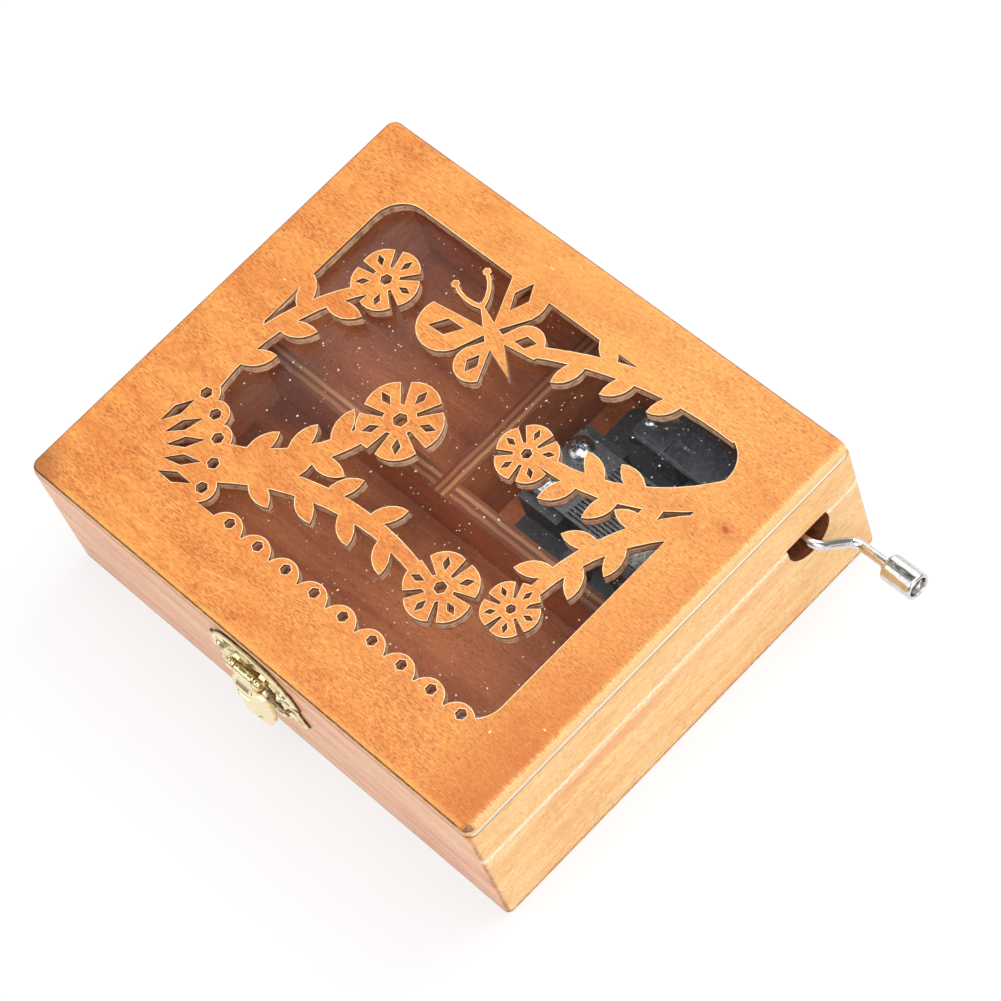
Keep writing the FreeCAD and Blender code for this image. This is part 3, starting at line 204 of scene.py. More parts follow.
def bent_path(corners: Sequence[Point], bends: Sequence[float]) -> Array:
    """Straight runs joined by arcs.

    point(a) = centre + radius * (sin a * before - cos a * inward), with a from 0 to the turn.

    Args:
        corners: Where the straight runs would meet, and both ends.
        bends: The radius of the arc at each inner corner.

    Returns:
        The points of the path.
    """
    at = np.array(corners)
    runs = [at[:1]]
    for corner, radius, last, following in zip(at[1:-1], bends, at[:-2], at[2:]):
        before, after = unit(corner - last), unit(following - corner)
        turn = math.acos(float(np.clip(before @ after, -1.0, 1.0)))
        start = corner - before * radius * math.tan(turn / 2)
        inward = unit(after - before * (before @ after))
        angle = np.linspace(0.0, turn, ARC_STEPS)[:, None]
        runs.append(start + inward * radius + radius * (np.sin(angle) * before - np.cos(angle) * inward))
    return np.concatenate([*runs, at[-1:]])


def evenly(path: Array, spacing: float) -> Array:
    """Points at even distances along a path.

    Args:
        path: The path's points.
        spacing: About how far apart the new ones are.

    Returns:
        The new points, both ends kept.
    """
    gone = np.concatenate([[0.0], np.cumsum(np.linalg.norm(np.diff(path, axis=0), axis=1))])
    wanted = np.linspace(0.0, gone[-1], max(2, int(gone[-1] / spacing) + 1))
    return np.stack([np.interp(wanted, gone, column) for column in path.T], axis=1)


def cross_head(foot: Point, axis: Point, radius: float, height: float, crown: float, recess: float,
               fineness: int = 1) -> Shape:
    """A screw's head with a crossed recess.

    level(r, t) = height + crown * (1 - r^2) - recess * inside(r cos t, r sin t), with r a share of the
    radius and inside from 0 to 1 over the recess's sloping edge; the last ring drops to the foot.

    Args:
        foot: Middle of the head's underside.
        axis: The way that the head looks.
        radius: The head's radius.
        height: Its height at the rim.
        crown: How much the middle rises over the rim.
        recess: Depth of the crossed slots.
        fineness: 1 for a small screw, 2 for a large one.

    Returns:
        The shape.
    """
    rings, steps = 22 * fineness, 56 * fineness
    r = np.concatenate([np.linspace(0.0, 0.94, rings), [0.985, 1.0, 1.0]])[:, None]
    t = np.linspace(0.0, 2 * np.pi, steps, endpoint=False)[None]
    x, y = r * np.cos(t), r * np.sin(t)
    arm, slot, slope, hub = 0.62, 0.13, 0.07, 0.27
    outside = np.minimum(np.maximum(abs(x) - arm, abs(y) - slot), np.maximum(abs(x) - slot, abs(y) - arm))
    inside = np.maximum(np.clip(-outside / slope, 0.0, 1.0), np.clip((hub - r) / 0.1, 0.0, 1.0))
    level = height + crown * (1 - r ** 2) - recess * inside
    level[-3:] -= np.array([[0.02 * height], [0.16 * height], [0.0]])
    level[-1] = 0.0
    line = np.array(axis)
    across, beside = square_to(line)
    flat = radius * (x[..., None] * across + y[..., None] * beside)
    points = np.array(foot) + flat + level[..., None] * line
    return Shape(points.reshape(-1, 3), (grid_quads(rings + 3, steps, True),))


# Plates with relief, worked out on a fine lattice in the plane of the front

def arc_between(a: Array, through: Array, b: Array) -> Array:
    """Points on the circle from a through a second point to b.

    Its centre is where the lines square to the chords' middles meet.

    Args:
        a: Start, itself left out.
        through: A point on the arc.
        b: End.

    Returns:
        The points.
    """
    sides = 2 * np.array([through - a, b - a])
    centre = np.linalg.solve(sides, [through @ through - a @ a, b @ b - a @ a])
    first, middle, last = (math.atan2(*(p - centre)[::-1]) for p in (a, through, b))
    full = 2 * math.pi
    way = 1 if (middle - first) % full < (last - first) % full else -1
    sweep = way * ((way * (last - first)) % full)
    angle = first + sweep * np.arange(1, OUTLINE_ARC_STEPS + 1) / OUTLINE_ARC_STEPS
    return centre + np.linalg.norm(a - centre) * np.stack([np.cos(angle), np.sin(angle)], axis=1)


def mirrored_outline(steps: Sequence[tuple[float, ...]]) -> Array:
    """A closed outline from steps on its right side, mirrored on its left.

    Args:
        steps: (x, z) for a straight edge to that point, or (xm, zm, x, z) for an arc through (xm, zm).

    Returns:
        The outline's points, in order.
    """
    right = [np.array([steps[0]], float)]
    for step in steps[1:]:
        end = np.array(step[-2:], float)
        is_arc = len(step) == 4
        right.append(arc_between(right[-1][-1], np.array(step[:2], float), end) if is_arc else end[None])
    half = np.concatenate(right)
    return np.concatenate([half, (half * [-1.0, 1.0])[::-1][1:-1]])


def signed_distance(x: Array, z: Array, outline: Array) -> Array:
    """Distance to a closed outline, the least over its segments, negative inside.

    A point is inside where a level ray from it crosses the outline an odd number of times.

    Args:
        x: First coordinates.
        z: Second coordinates.
        outline: The outline's points.

    Returns:
        The distances, shaped as x.
    """
    p = np.stack([x.ravel(), z.ravel()], axis=1)[:, None]
    a, b = outline[None], np.roll(outline, -1, axis=0)[None]
    share = np.clip(((p - a) * (b - a)).sum(-1) / np.maximum(((b - a) ** 2).sum(-1), 1e-12), 0.0, 1.0)
    gap = np.linalg.norm(p - a - share[..., None] * (b - a), axis=-1).min(axis=1)
    rise = np.where(b[..., 1] == a[..., 1], 1e-9, b[..., 1] - a[..., 1])
    crossing = a[..., 0] + (p[..., 1] - a[..., 1]) / rise * (b[..., 0] - a[..., 0])
    spans = (a[..., 1] > p[..., 1]) != (b[..., 1] > p[..., 1])
    inside = (spans & (p[..., 0] < crossing)).sum(axis=1) % 2 == 1
    return np.where(inside, -gap, gap).reshape(x.shape)


def ridge(x: Array, z: Array, line: Array, width: float) -> Array:
    """A rounded ridge over a line: exp(-(distance / width)^2).

    Args:
        x: First coordinates.
        z: Second coordinates.
        line: Points along the line, closer together than the width.
        width: Half the ridge's width.

    Returns:
        Heights from 0 to 1, shaped as x.
    """
    p = np.stack([x.ravel(), z.ravel()], axis=1)
    gap = np.linalg.norm(p[:, None] - line[None], axis=-1).min(axis=1)
    return np.exp(-(gap / width) ** 2).reshape(x.shape)


def scroll(centre: Pair, inner: float, outer: float, start: float, turns: float,
           tail: Sequence[Pair]) -> Array:
    """A spiral with a tail: centre + radius * (cos a, sin a), with radius and a growing evenly.

    Args:
        centre: The spiral's eye.
        inner: Radius at the eye.
        outer: Radius where the tail leaves.
        start: First angle, in degrees.
        turns: How many turns, negative for clockwise.
        tail: Points that the line goes on through.

    Returns:
        Points along the line.
    """
    s = np.linspace(0.0, 1.0, 60)
    angle = math.radians(start) + 2 * math.pi * turns * s
    radius = inner + (outer - inner) * s
    coil = np.array(centre) + radius[:, None] * np.stack([np.cos(angle), np.sin(angle)], axis=1)
    return evenly(np.concatenate([coil, np.array(tail, float)]), 0.12)


@dataclass
class ReliefPlate:
    """A plate on the front, cut on a lattice and raised by a height function.

    A lattice cell is kept where its middle is inside; points on the kept cells' rim are moved onto
    the outline along the distance's slope. The front is front(x, z), the back lies behind it.
    """

    middle_x: float
    outline: Array
    pitch: ClassVar[float] = 0.15
    lowest: ClassVar[float] = 0.3
    highest: ClassVar[float] = 1.1

    def openings(self, x: Array, z: Array) -> Array:
        """Positive inside what is cut through the plate."""
        raise NotImplementedError

    def front(self, x: Array, z: Array, e: Array) -> Array:
        """How far the front stands out at x and z, a depth e inside the plate's edge."""
        raise NotImplementedError

    def back(self, out: Array) -> Array:
        """How far the back stands out behind a front."""
        return np.zeros_like(out)

    def distance(self, x: Array, z: Array) -> Array:
        """Distance to the plate's edge, its openings included, negative in the metal."""
        return np.maximum(signed_distance(x, z, self.outline), self.openings(x, z))

    def shape(self) -> Shape:
        """Works the plate out.

        Returns:
            A closed shape whose relief is 0 in the hollows and 1 on the crests.
        """
        low, high = self.outline.min(axis=0) - self.pitch, self.outline.max(axis=0) + self.pitch
        x, z = np.meshgrid(*(np.arange(low[k], high[k] + self.pitch, self.pitch) for k in (0, 1)))
        quads = grid_quads(*x.shape)
        x, z = x.ravel(), z.ravel()
        quads = quads[self.distance(x[quads].mean(axis=1), z[quads].mean(axis=1)) < 0]
        edges = np.stack([quads, np.roll(quads, -1, axis=1)], axis=-1).reshape(-1, 2)
        count = len(x)
        rim = edges[~np.isin(edges[:, 0] * count + edges[:, 1], edges[:, 1] * count + edges[:, 0])]
        on_rim = np.unique(rim)
        nudge, gentlest, rounds = 0.01, 0.3, 3
        for _ in range(rounds):
            near = self.distance(x[on_rim], z[on_rim])
            slope = np.stack([self.distance(x[on_rim] + nudge, z[on_rim]) - near,
                              self.distance(x[on_rim], z[on_rim] + nudge) - near], axis=1) / nudge
            slope = slope / np.maximum(np.linalg.norm(slope, axis=1, keepdims=True), gentlest)
            x[on_rim] -= near * slope[:, 0]
            z[on_rim] -= near * slope[:, 1]
        out = self.front(x, z, np.maximum(-self.distance(x, z), 0.0))
        sides = [np.stack([self.middle_x + x, -HALF_DEPTH - y, z], axis=1) for y in (out, self.back(out))]
        walls = np.stack([rim[:, 1], rim[:, 0], rim[:, 0] + count, rim[:, 1] + count], axis=1)
        used, faces = np.unique(np.concatenate([quads, quads[:, ::-1] + count, walls]), return_inverse=True)
        relief = np.clip((out - self.lowest) / (self.highest - self.lowest), 0.0, 1.0)
        relief = np.concatenate([relief, relief * 0.3])[used]
        return Shape(np.concatenate(sides)[used], (faces.reshape(-1, 4),), relief)


@dataclass
class StampedPlate(ReliefPlate):
    """A flat plate with two round holes, a bead inside its edge and an ornament of ridges.

    A hole is across, up and radius, a bead is how far inside the edge its top runs and how far it
    rises, a ridge is its line, half its width and its rise.
    """

    hole: Point
    bead: Pair
    ridges: Sequence[tuple[Array, float, float]]

    def openings(self, x: Array, z: Array) -> Array:
        """Positive inside the holes: radius - distance."""
        return self.hole[2] - np.hypot(abs(x) - self.hole[0], z - self.hole[1])

    def front(self, x: Array, z: Array, e: Array) -> Array:
        """Height of the front: a low field with a rounded edge, the bead and the ridges.

        Args:
            x: Coordinates across the plate, from its middle.
            z: Coordinates up the plate.
            e: Depth inside the plate's edge.

        Returns:
            The heights.
        """
        rim, crest = self.bead
        edge = 1.0 - (1.0 - np.clip(e / 0.35, 0.0, 1.0)) ** 2
        height = 0.30 + 0.16 * edge + crest * np.exp(-((e - rim) / (0.62 * rim)) ** 2)
        for line, width, rise in self.ridges:
            height += rise * ridge(abs(x), z, line, width)
        return height


@dataclass
class HaspPlate(ReliefPlate):
    """The hasp's tongue: crossed cylinders, creased into a middle leaf and side lobes, with two slots."""

    pitch: ClassVar[float] = 0.14
    lowest: ClassVar[float] = 1.6
    highest: ClassVar[float] = 4.6
    belly_radius: float = 9.0
    curve_radius: float = 40.0
    belly_z: float = 21.6
    front_out: float = 5.6
    back_out: float = 2.7
    neck_out: float = 3.65
    thickness: float = 0.9

    def openings(self, x: Array, z: Array) -> Array:
        """Positive inside the slots: a level one above, a crescent below.

        Args:
            x: Coordinates across the hasp, from its middle.
            z: Coordinates up the hasp.

        Returns:
            How far inside.
        """
        upper = np.minimum(2.0 - abs(x), 1.0 - abs(z - 26.0))
        lower = np.minimum(2.6 - np.hypot(x, z - 17.9), np.hypot(x, z - 18.9) - 2.6)
        return np.maximum(upper, lower)

    def front(self, x: Array, z: Array, e: Array) -> Array:
        """How far the front stands out.

        out = min(belly(x), curve(z)), with belly = top - R + sqrt(R^2 - x^2) and curve alike in z; the
        edge is rounded down, creases run down both sides of the middle and the slots have raised lips.

        Args:
            x: Coordinates across the hasp, from its middle.
            z: Coordinates up the hasp.
            e: Depth inside the hasp's edge.

        Returns:
            The distances from the case.
        """
        out = np.minimum(*(self.front_out - radius + np.sqrt(radius ** 2 - gone ** 2) for radius, gone in (
            (self.belly_radius, x), (self.curve_radius, z - self.belly_z))))
        share = np.linspace(0.0, 1.0, 40)
        bend, fall = np.linspace(0.2, 2.9, 80), np.linspace(28.6, 15.2, 80)
        crease = np.stack([2.35 + 1.1 * np.sin(bend), fall], axis=1)
        fold = np.stack([np.linspace(0.6, 4.4, 40), 20.4 + 2.6 * share ** 1.6], axis=1)
        out = out - 0.42 * ridge(abs(x), z, crease, 0.30) - 0.30 * ridge(abs(x), z, fold, 0.26)
        out = out + 0.20 * np.exp(-((self.openings(x, z) + 0.36) / 0.24) ** 2)
        rounding = 1.0 - np.sqrt(np.clip(1.0 - (1.0 - np.clip(e / 0.9, 0.0, 1.0)) ** 2, 0.0, 1.0))
        out = out - 0.75 * rounding * np.clip((30.2 - z) / 1.5, 0.0, 1.0)
        neck = np.clip((z - 28.4) / 1.6, 0.0, 1.0)
        return np.maximum(out * (1 - neck) + self.neck_out * neck, self.back_out + 0.15)

    def back(self, out: Array) -> Array:
        """How far the back stands out: a sheet's thickness behind the front, but clear of the catch."""
        return np.maximum(out - self.thickness, self.back_out)


# Objects

def put(name: str, data: bpy.types.ID) -> bpy.types.Object:
    """A new object in the scene.

    Args:
        name: Its name.
        data: Its mesh, lamp or camera.

    Returns:
        The object.
    """
    made = bpy.data.objects.new(name, data)
    bpy.context.scene.collection.objects.link(made)
    return made


def hang(name: str, mesh: bpy.types.Mesh, body: Body, materials: Sequence[Material], replaces: str,
         sharp_degrees: float) -> None:
    """Lets a mesh ride on a body as a piece.

    Args:
        name: The piece's name.
        mesh: Its mesh.
        body: What it moves with.
        materials: Its materials.
        replaces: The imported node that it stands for, or nothing.
        sharp_degrees: Edges that turn more than this stay sharp.
    """
    mesh.shade_smooth()
    mesh.set_sharp_from_angle(angle=math.radians(sharp_degrees))
    for material in materials:
        mesh.materials.append(material)
    piece = put(name, mesh)
    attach(piece, body.value)
    if replaces:
        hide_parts(replaces)
    log.info("built %s: %d faces on %s", name, len(mesh.polygons), body.value)


def add_piece(name: str, shapes: Sequence[Shape], body: Body, material: Material, replaces: str = "",
              sharp_degrees: float = 38.0) -> None:
    """Makes a piece of shapes.

    Args:
        name: The piece's name.
        shapes: Its shapes.
        body: What it moves with.
        material: Its material.
        replaces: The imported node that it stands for, or nothing.
        sharp_degrees: Edges that turn more than this stay sharp.
    """
    shape = Shape.joined(shapes) if len(shapes) > 1 else shapes[0]
    mesh = bpy.data.meshes.new(name)
    faces = [row for rows in shape.faces for row in rows.tolist()]
    mesh.from_pydata((shape.points * MM).tolist(), [], faces)
    if shape.relief is not None:
        relief = mesh.attributes.new("relief", "FLOAT", "POINT")
        relief.data.foreach_set("value", shape.relief.astype(np.float32))
    work = bmesh.new()
    work.from_mesh(mesh)
    bmesh.ops.remove_doubles(work, verts=work.verts, dist=1e-7)
    bmesh.ops.dissolve_degenerate(work, edges=work.edges, dist=1e-8)
    bmesh.ops.recalc_face_normals(work, faces=work.faces)
    work.to_mesh(mesh)
    work.free()
    hang(name, mesh, body, [material], replaces, sharp_degrees)


# Materials

class Wiring:
    """Adds and joins the nodes of one material or shader group."""

    def __init__(self, tree: bpy.types.NodeTree) -> None:
        """Starts on a node tree."""
        self.tree = tree

    def feed(self, socket: Socket, value: object) -> None:
        """Links an output to a socket, or sets the socket's own value.

        Args:
            socket: The input socket.
            value: An output socket, a number or a colour; None leaves the socket alone.
        """
        if isinstance(value, Socket):
            self.tree.links.new(value, socket)
        elif hasattr(value, "__len__") and len(value) == 3 and len(socket.default_value) == 4:
            socket.default_value = (*value, 1.0)
        elif value is not None:
            socket.default_value = value

    def fill(self, made: Node, **values: object) -> Node:
        """Feeds a node's inputs by name.

        Args:
            made: The node.
            values: A value for each input, with underscores for the spaces in its name.

        Returns:
            The node.
        """
        for title, value in values.items():
            self.feed(made.inputs[title.replace("_", " ")], value)
        return made

    def node(self, kind: str, *values: object, **settings: object) -> Node:
        """Adds a node.

        Args:
            kind: The node's type name, without a leading ShaderNode.
            values: What its first inputs get, in order.
            settings: Values of its properties.

        Returns:
            The new node.
        """
        made = self.tree.nodes.new(kind if kind.startswith("Node") else "ShaderNode" + kind)
        for name, value in settings.items():
            setattr(made, name, value)
        for socket, value in zip(made.inputs, values):
            self.feed(socket, value)
        return made

    def math(self, operation: str, a: object, b: object = 0.0, clamp: bool = False) -> Socket:
        """A Math node's result."""
        return self.node("Math", a, b, operation=operation, use_clamp=clamp).outputs[0]

    def times(self, *values: object) -> Socket:
        """The product of several numbers or sockets, kept from 0 to 1."""
        return reduce(lambda a, b: self.math("MULTIPLY", a, b, True), values)

    def vector(self, operation: str, a: object, b: object) -> Socket:
        """A Vector Math node's vector."""
        return self.node("VectorMath", a, b, operation=operation).outputs[0]

    def number(self, operation: str, a: object, b: object = None) -> Socket:
        """A Vector Math node's number, such as a length or a dot product."""
        return self.node("VectorMath", a, b, operation=operation).outputs["Value"]

    def ramp(self, value: object, low: float, high: float, to_low: float = 0.0, to_high: float = 1.0,
             smooth: bool = True) -> Socket:
        """Maps low to to_low and high to to_high, held at both ends, on an S curve unless smooth is off."""
        curve = "SMOOTHSTEP" if smooth else "LINEAR"
        made = self.node("MapRange", value, low, high, to_low, to_high, interpolation_type=curve)
        return made.outputs[0]

    def band(self, value: object, low: float, high: float, soft: float) -> Socket:
        """1 where a value lies between two limits, falling to 0 over a soft width outside them."""
        rise, fall = self.ramp(value, low - soft, low), self.ramp(value, high, high + soft, 1.0, 0.0)
        return self.times(rise, fall)

    def mix(self, share: object, a: object, b: object) -> Socket:
        """A mix of two colours, of which share is how much of b."""
        return self.node("Mix", share, *[None] * 5, a, b, data_type="RGBA").outputs[2]

    def over(self, tone: object, colour: object, *shares: object) -> Socket:
        """A colour laid over another by the product of its shares."""
        return self.mix(self.times(*shares), tone, colour)

    def noise(self, place: object, cells: Point | float, detail: float, roughness: float = 0.55,
              distortion: float = 0.0, scale: object = 1.0) -> Socket:
        """A noise texture's value.

        Args:
            place: The coordinates.
            cells: Cells per unit of each coordinate, or of all three.
            detail: Octaves.
            roughness: Weight of the finer octaves.
            distortion: How much the pattern is bent.
            scale: A further number on all three coordinates.

        Returns:
            The output socket.
        """
        at = self.vector("MULTIPLY", place, cells if isinstance(cells, tuple) else (cells,) * 3)
        return self.fill(self.node("TexNoise"), Vector=at, Scale=scale, Detail=detail, Roughness=roughness,
                         Distortion=distortion).outputs[0]

    def millimetres(self, shift: Point = (0.0, 0.0, 0.0)) -> Socket:
        """Object coordinates in millimetres, moved by a shift."""
        place = self.node("TexCoord").outputs["Object"]
        return self.vector("ADD", self.vector("MULTIPLY", place, (1 / MM,) * 3), shift)

    def parts(self, place: Socket) -> Outputs:
        """The three coordinates of a vector."""
        return self.node("SeparateXYZ", place).outputs

    def spot(self, place: Socket, centre: Point, reach: float, soft: float,
             stretch: Point = (1.0,) * 3) -> Socket:
        """1 near a point, half fallen at reach, with distances stretched along each coordinate."""
        away = self.vector("MULTIPLY", self.vector("SUBTRACT", place, centre), stretch)
        return self.ramp(self.number("LENGTH", away), reach - soft, reach + soft, 1.0, 0.0)

    def scratch(self, place: Socket, start: Pair, end: Pair, width: float) -> Socket:
        """1 on a straight scratch in the XY plane, falling to 0 beside it and beyond its ends.

        Args:
            place: The coordinates.
            start: First end.
            end: Other end.
            width: Half its width.

        Returns:
            The output socket.
        """
        run = np.array(end) - np.array(start)
        length = float(np.linalg.norm(run))
        x, y = (run / length).tolist()
        away = self.vector("SUBTRACT", place, (*start, 0.0))
        aside = self.math("ABSOLUTE", self.number("DOT_PRODUCT", away, (-y, x, 0.0)))
        along = self.number("DOT_PRODUCT", away, (x, y, 0.0))
        beside = self.ramp(aside, width, width + 0.08, 1.0, 0.0)
        return self.times(beside, self.band(along, 0.0, length, 0.6))

    def bump(self, shader: Node, height: object, strength: float, distance_mm: float,
             normal: Socket | None = None) -> None:
        """Gives a shader a bump of that height in millimetres, on top of a normal."""
        made = self.fill(self.node("Bump"), Strength=strength, Distance=distance_mm * MM, Height=height,
                         Normal=normal)
        self.fill(shader, Normal=made.outputs[0])


class Group:
    """A shader node group with named inputs and outputs, made once."""

    def __init__(self, name: str, inputs: Sequence[str], outputs: Sequence[str]) -> None:
        """Makes the empty group, whose sockets are numbers but for Vector and Normal.

        Args:
            name: The group's name.
            inputs: Names of its inputs.
            outputs: Names of its outputs.
        """
        self.tree = bpy.data.node_groups.new(name, "ShaderNodeTree")
        for way, titles in (("INPUT", inputs), ("OUTPUT", outputs)):
            for title in titles:
                kind = "NodeSocketVector" if title in ("Vector", "Normal") else "NodeSocketFloat"
                self.tree.interface.new_socket(title, in_out=way, socket_type=kind)
        self.wiring = Wiring(self.tree)
        self.source = self.wiring.node("NodeGroupInput").outputs
        self.sink = self.wiring.node("NodeGroupOutput")

    def place(self, w: Wiring, **values: object) -> Outputs:
        """The outputs of the group, placed in a material with these values on its inputs."""
        return w.fill(w.node("Group", node_tree=self.tree), **values).outputs


def wood_grain_group() -> Group:
    """Grain of close-pored wood on coordinates in millimetres whose X runs along the grain.

    Bands are noise stretched far along the grain, fibre is a finer one, flecks are short dashes where
    a stretched noise peaks, clouds are the slow change of the stain and mottle its blotches.

    Returns:
        The group, with outputs from 0 to 1.
    """
    group = Group("wood_grain", ("Vector", "Band Scale", "Fleck Limit"),
                  ("Bands", "Fibre", "Flecks", "Cloud", "Mottle", "Height"))
    w = group.wiring
    place, band_scale, fleck_limit = (group.source[k] for k in range(3))
    bands = w.noise(place, (0.010, 0.11, 0.11), 3.0, 0.55, 0.5, band_scale)
    fibre = w.noise(place, (0.42, 2.0, 2.0), 6.0, 0.75, 0.3)
    dash = w.noise(place, (0.70, 3.0, 3.0), 3.0, 0.6, 0.15)
    where = w.noise(place, (0.06, 0.14, 0.14), 2.0, 0.5)
    limit = w.math("ADD", fleck_limit, w.ramp(where, 0.3, 0.7, 0.06, -0.05))
    flecks = w.math("MULTIPLY", w.math("SUBTRACT", dash, limit), 9.0, True)
    cloud = w.noise(place, (0.030, 0.055, 0.055), 4.0, 0.6, 0.5)
    mottle = w.noise(place, (0.11, 0.30, 0.30), 5.0, 0.68, 0.8)
    height = w.math("SUBTRACT", w.math("MULTIPLY", fibre, 0.4), w.math("MULTIPLY", flecks, 0.5))
    w.fill(group.sink, Bands=w.ramp(bands, 0.32, 0.68), Fibre=w.ramp(fibre, 0.34, 0.66), Flecks=flecks,
           Cloud=w.ramp(cloud, 0.32, 0.68), Mottle=w.ramp(mottle, 0.48, 0.70), Height=height)
    return group


def edge_group() -> Group:
    """How near a point is to a sharp edge, from the normal of the rounded-off surface.

    Returns:
        The group, with input Reach in metres and outputs Edge from 0 to 1 and the rounded Normal.
    """
    group = Group("edge_nearness", ("Reach",), ("Edge", "Normal"))
    w = group.wiring
    bevel = w.fill(w.node("Bevel", samples=6), Radius=group.source["Reach"]).outputs[0]
    turn = w.number("DOT_PRODUCT", bevel, w.node("NewGeometry").outputs["Normal"])
    w.fill(group.sink, Edge=w.ramp(turn, 0.995, 0.86), Normal=bevel)
    return group


def wear_group() -> Group:
    """Fine scratches, smudges and dust on metal or plastic, on coordinates in millimetres.

    Returns:
        The group, with outputs from 0 to 1.
    """
    group = Group("surface_wear", ("Vector",), ("Scratch", "Smudge", "Dust"))
    w, place = group.wiring, group.source["Vector"]
    w.fill(group.sink, Scratch=w.ramp(w.noise(place, (0.5, 9.0, 3.0), 2.0, 0.5, 1.2), 0.60, 0.72),
           Smudge=w.ramp(w.noise(place, 0.7, 3.0, 0.6), 0.35, 0.7),
           Dust=w.ramp(w.noise(place, 6.0, 1.0, 0.4), 0.70, 0.76))
    return group


GRAIN, EDGE, WEAR = wood_grain_group(), edge_group(), wear_group()


@dataclass(frozen=True)
class Finish:
    """A material with a Principled shader, which each finish wires in its own way."""

    name: str

    def paint(self, w: Wiring, shader: Node) -> None:
        """Wires the shader."""

    def surface(self, w: Wiring, shader: Node) -> Socket:
        """What the material puts out."""
        return shader.outputs[0]

    def build(self) -> Material:
        """Makes the material.

        Returns:
            The material.
        """
        material = bpy.data.materials.new(self.name)
        material.use_nodes = True
        material.node_tree.nodes.clear()
        w = Wiring(material.node_tree)
        shader = w.node("BsdfPrincipled")
        self.paint(w, shader)
        w.node("OutputMaterial", self.surface(w, shader))
        return material


@dataclass(frozen=True)
class StainTones:
    """The colours of one stained wood."""

    body: Colour
    dark: Colour
    light: Colour
    fleck: Colour


@dataclass(frozen=True)
class StainedWood(Finish):
    """Wood under a stain and a satin lacquer, with the grain along one axis."""

    tones: StainTones
    along: Axis = Axis.X
    shift: Point = (0.0, 0.0, 0.0)
    band_scale: float = 1.0
    band_share: float = 0.45
    fleck_limit: float = 0.60
    fleck_share: float = 0.6
    cloud_share: float = 0.45
    fibre_share: float = 0.35
    mottle_share: float = 0.3
    gloss_roughness: float = 0.36
    coat: float = 0.22
    shine: float = 0.4

    def coordinates(self, w: Wiring) -> Socket:
        """Coordinates in millimetres whose X runs along the grain.

        Args:
            w: The material's wiring.

        Returns:
            The coordinates.
        """
        place = w.millimetres(self.shift)
        if self.along is Axis.X:
            return place
        x, y, z = w.parts(place)
        return w.node("CombineXYZ", y, x, z).outputs[0]

    def stained(self, w: Wiring, along: Socket) -> tuple[Socket, Outputs]:
        """The stained colour: body, bands, clouds, fibre, mottle and flecks.

        Args:
            w: The material's wiring.
            along: Coordinates whose X runs along the grain.

        Returns:
            The colour, and the outputs of the grain.
        """
        grain = GRAIN.place(w, Vector=along, Band_Scale=self.band_scale, Fleck_Limit=self.fleck_limit)
        tones = self.tones
        tone = w.mix(self.band_share, tones.body, w.mix(grain["Bands"], tones.dark, tones.light))
        for title, share, colour in (
                ("Cloud", self.cloud_share, tones.light), ("Fibre", self.fibre_share, tones.dark),
                ("Mottle", self.mottle_share, tones.dark), ("Flecks", self.fleck_share, tones.fleck)):
            tone = w.over(tone, colour, grain[title], share)
        return tone, grain

    def placed(self, w: Wiring, tone: Socket, place: Socket) -> Socket:
        """The colour after what changes with the place on the piece; plain wood has nothing."""
        return tone

    def lacquer(self, w: Wiring, place: Socket) -> object:
        """How much lacquer lies on the wood, a number or a socket."""
        return self.coat

    def paint(self, w: Wiring, shader: Node) -> None:
        """Wires the stain, the lacquer and the grain's bump.

        Args:
            w: The material's wiring.
            shader: Its shader.
        """
        tone, grain = self.stained(w, self.coordinates(w))
        place = w.millimetres()
        rough = w.ramp(grain["Fibre"], 0.0, 1.0, self.gloss_roughness - 0.06, self.gloss_roughness + 0.08)
        w.fill(shader, Base_Color=self.placed(w, tone, place), Roughness=rough,
               Coat_Weight=self.lacquer(w, place), Coat_Roughness=0.2, Specular_IOR_Level=self.shine)
        w.bump(shader, grain["Height"], 0.35, 0.06)


